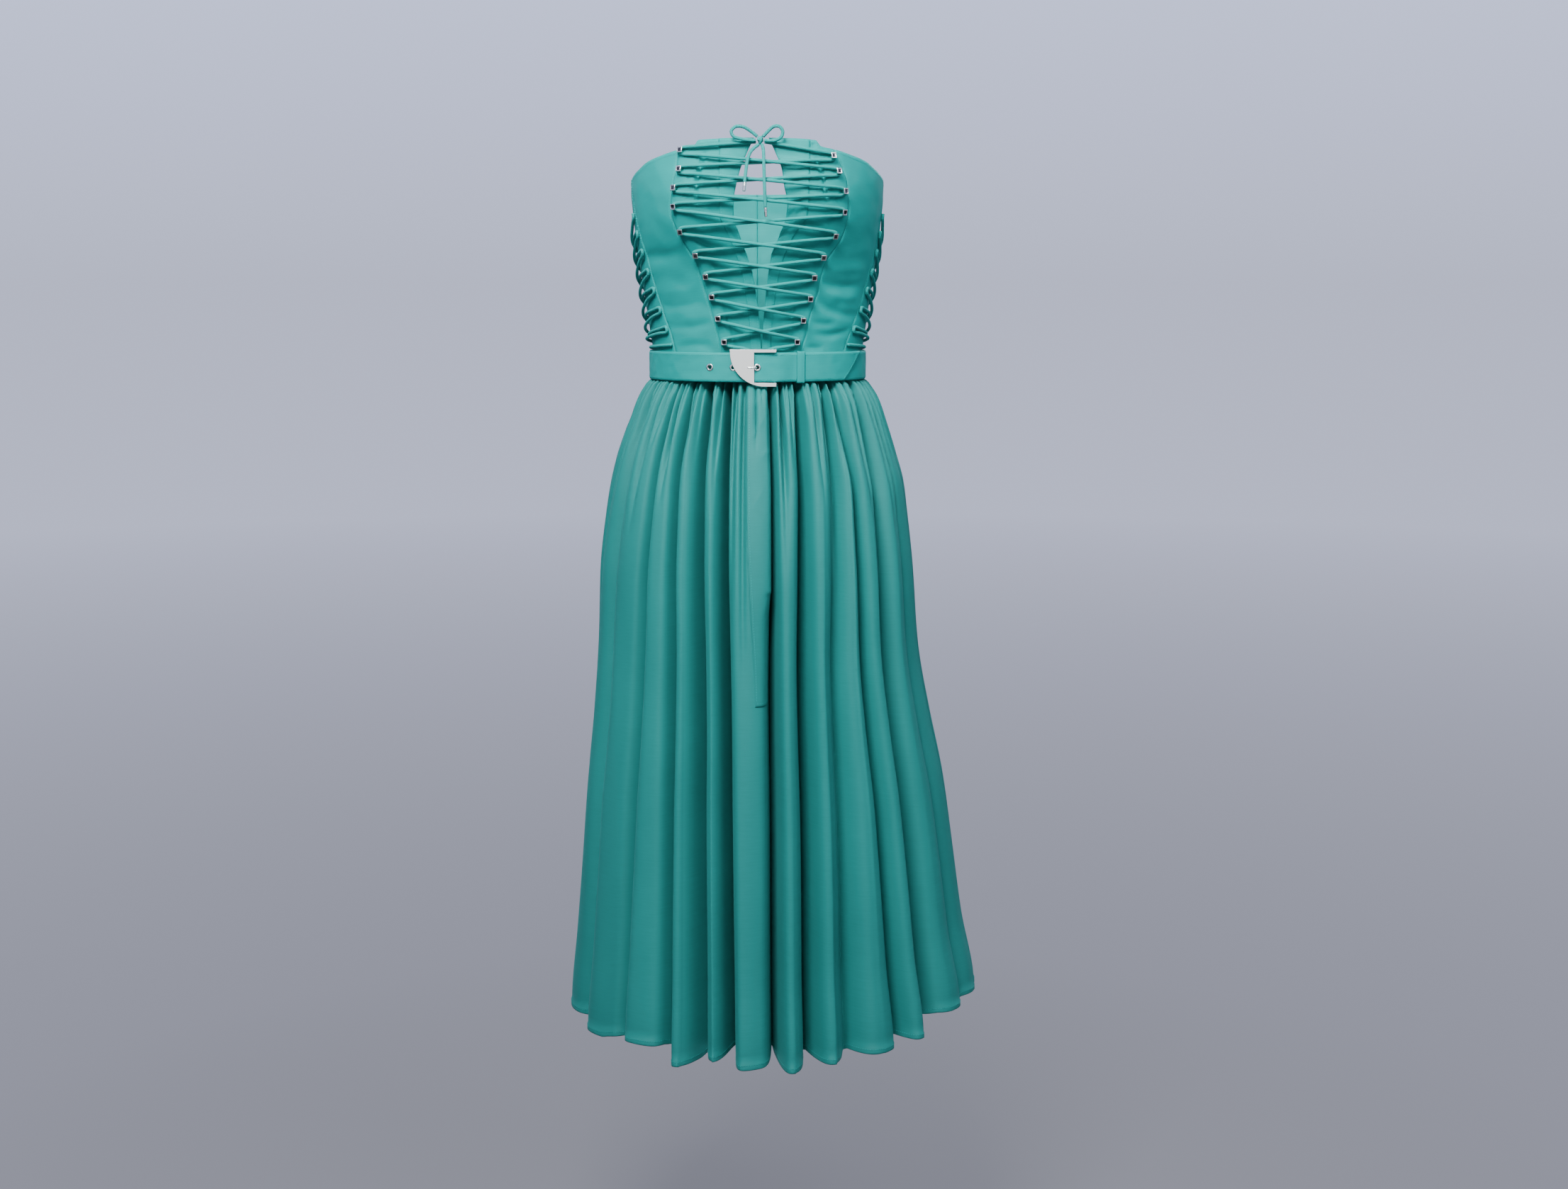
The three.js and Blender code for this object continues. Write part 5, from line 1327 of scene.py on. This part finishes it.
def side_lace_hole(side, in_front, z):
    """Where a cord turns at a seam. The holes behind the panel sit lower than those in front."""
    if in_front:
        return SIGN[side] * (SIDE_FRONT_SEAM(side, z) + 1.2), z
    low = max(z - SIDE_LACE_DROP, SIDE_LACE_END_Z)
    return SIGN[side] * (SIDE_BACK_SEAM(side, low) - 1.5), low


def side_lace(side, in_front, starts_over):
    """One cord's route down the side. It turns at each hole and crosses to the next lower one."""
    route = []
    for row, (z, next_z) in enumerate(zip(SIDE_LACE_ROWS_Z, SIDE_LACE_ROWS_Z[1:])):
        here, here_z = side_lace_hole(side, in_front, z)
        there, there_z = side_lace_hole(side, not in_front, next_z)
        route.append(lifted(here, here_z + SIDE_LACE_TURN, SIDE_LACE_LOW))
        route.append(lifted(here, here_z - SIDE_LACE_TURN, SIDE_LACE_LOW))
        rise = SIDE_LACE_OVER if (row % 2 == 0) == starts_over else 0
        for share in SIDE_LACE_SHARES:
            height = here_z - SIDE_LACE_TURN + share * (there_z - here_z + 2 * SIDE_LACE_TURN)
            lift = SIDE_LACE_LOW + rise * math.exp(-(((share - 0.5) / 0.25) ** 2))
            route.append(lifted(here + share * (there - here), height, lift))
        in_front = not in_front
    route.append(lifted(there, there_z + SIDE_LACE_TURN, SIDE_LACE_LOW))
    return through(route)


for side in SIGN:
    for name, in_front in (("first", True), ("second", False)):
        node = f"side_lace_{side}_{name}"
        lace_piece(node, side_lace(side, in_front, in_front), SIDE_LACE_RADIUS, 10)

# Topstitching, lockstitch in a slightly lighter teal thread, sunk a little into the cloth. It runs
# beside the bodice seams and the top edge, and along the hem, the fly, the belt and its keeper.
STITCH = {"length": 2.1, "width": 0.5, "height": 0.34, "pitch": 2.7}
STITCH_SIZE = [STITCH[way] / 2 * MM for way in ("length", "width", "height")]
THREAD_DEEP = (0.004, 0.300, 0.285, 1)
THREAD_LIGHT = (0.010, 0.420, 0.400, 1)
thread_look = poplin("sewing thread", THREAD_DEEP, THREAD_LIGHT)


def stitches(name, slot, *lines):
    """Stitches along one or more lines of points on a surface, each a list of (point, normal)."""
    mesh = bmesh.new()
    for line in lines:
        travelled, due = 0, STITCH["pitch"] / 2
        for (start, normal), (finish, _) in zip(line, line[1:]):
            step = (finish - start).length
            while travelled + step > due and step > 0:
                centre = start.lerp(finish, (due - travelled) / step)
                along = (finish - start).normalized()
                side = normal.cross(along).normalized()
                turn = Matrix((along, side, along.cross(side))).transposed().to_4x4()
                bmesh.ops.create_icosphere(
                    mesh, subdivisions=1, radius=1,
                    matrix=Matrix.Translation(centre * MM) @ turn @ Matrix.Diagonal((*STITCH_SIZE, 1)),
                )
                due += STITCH["pitch"]
            travelled += step
    return piece_from(name, mesh, thread_look, None)


def line_on(form, places):
    """Points and outward normals of a surface form, at a run of (u, v) places."""
    line = []
    for u, v in places:
        here = form(u, v)
        normal = (form(u + 0.004, v) - here).cross(form(u, v + 0.004) - here).normalized()
        line.append((here + normal * 0.12, normal))
    return line


EDGE_STEPS = 120
EDGE_FROM_V = 0.02
EDGE_TO_V = 0.995
TOP_STEPS = 80
TOP_STITCH_V = 3.4 / 225


def up_edge(node, from_start, inset):
    """A line up a bodice panel, at a distance from the edge where u starts or from the other."""
    form, width = panel_forms[node]
    places = []
    for k in range(EDGE_STEPS + 1):
        v = EDGE_FROM_V + (EDGE_TO_V - EDGE_FROM_V) * k / EDGE_STEPS
        share = inset / width(v)
        places.append((share if from_start else 1 - share, v))
    return line_on(form, places)


def along_top(node):
    form = panel_forms[node][0]
    return line_on(
        form, [(0.01 + 0.98 * k / TOP_STEPS, 1 - TOP_STITCH_V) for k in range(TOP_STEPS + 1)],
    )


for side in SIGN:
    right = side == "right"
    stitches(
        f"bodice_stitching_{side}", "bodice_cloth",
        up_edge(f"side_front_{side}", right, 1.9), up_edge(f"side_front_{side}", not right, 2.2),
        up_edge(f"side_panel_{side}", right, 1.9), up_edge(f"side_panel_{side}", not right, 1.9),
        up_edge(f"front_band_{side}", right, 1.8), up_edge(f"front_band_{side}", not right, 1.5),
        up_edge(f"back_{side}", not right, 1.8),
        *(along_top(f"{name}_{side}") for name in BODICE_PANELS),
    )
HEM_STITCH_ROW = 1.85
for node, form in skirt_forms.items():
    hem_v = HEM_STITCH_ROW / SKIRT_ROWS["front" if "front" in node else "back"]
    hem_line = line_on(form, [(k / 900, hem_v) for k in range(1, 899)])
    stitches(f"{node}_hem_stitching", "skirt_cloth", hem_line)
stitches(
    "fly_stitching", "skirt_cloth",
    line_on(fly_place, [(0.07, k / 160) for k in range(3, 160)]),
    line_on(fly_place, [(k / 30, 0.012) for k in range(2, 29)]),
)
EDGE_V = 2.6 / BELT_HEIGHT
stitches(
    "belt_stitching", "belt_cloth",
    line_on(strap_place, [(k / 700, EDGE_V) for k in range(8, 696)]),
    line_on(strap_place, [(k / 700, 1 - EDGE_V) for k in range(8, 697)]),
    line_on(strap_place, [(0.9965, EDGE_V + (1 - 2 * EDGE_V) * k / 30) for k in range(31)]),
    *(line_on(keeper_place, [(-0.2 + 0.4 * k / 60, v) for k in range(61)]) for v in (0.2, 0.8)),
)
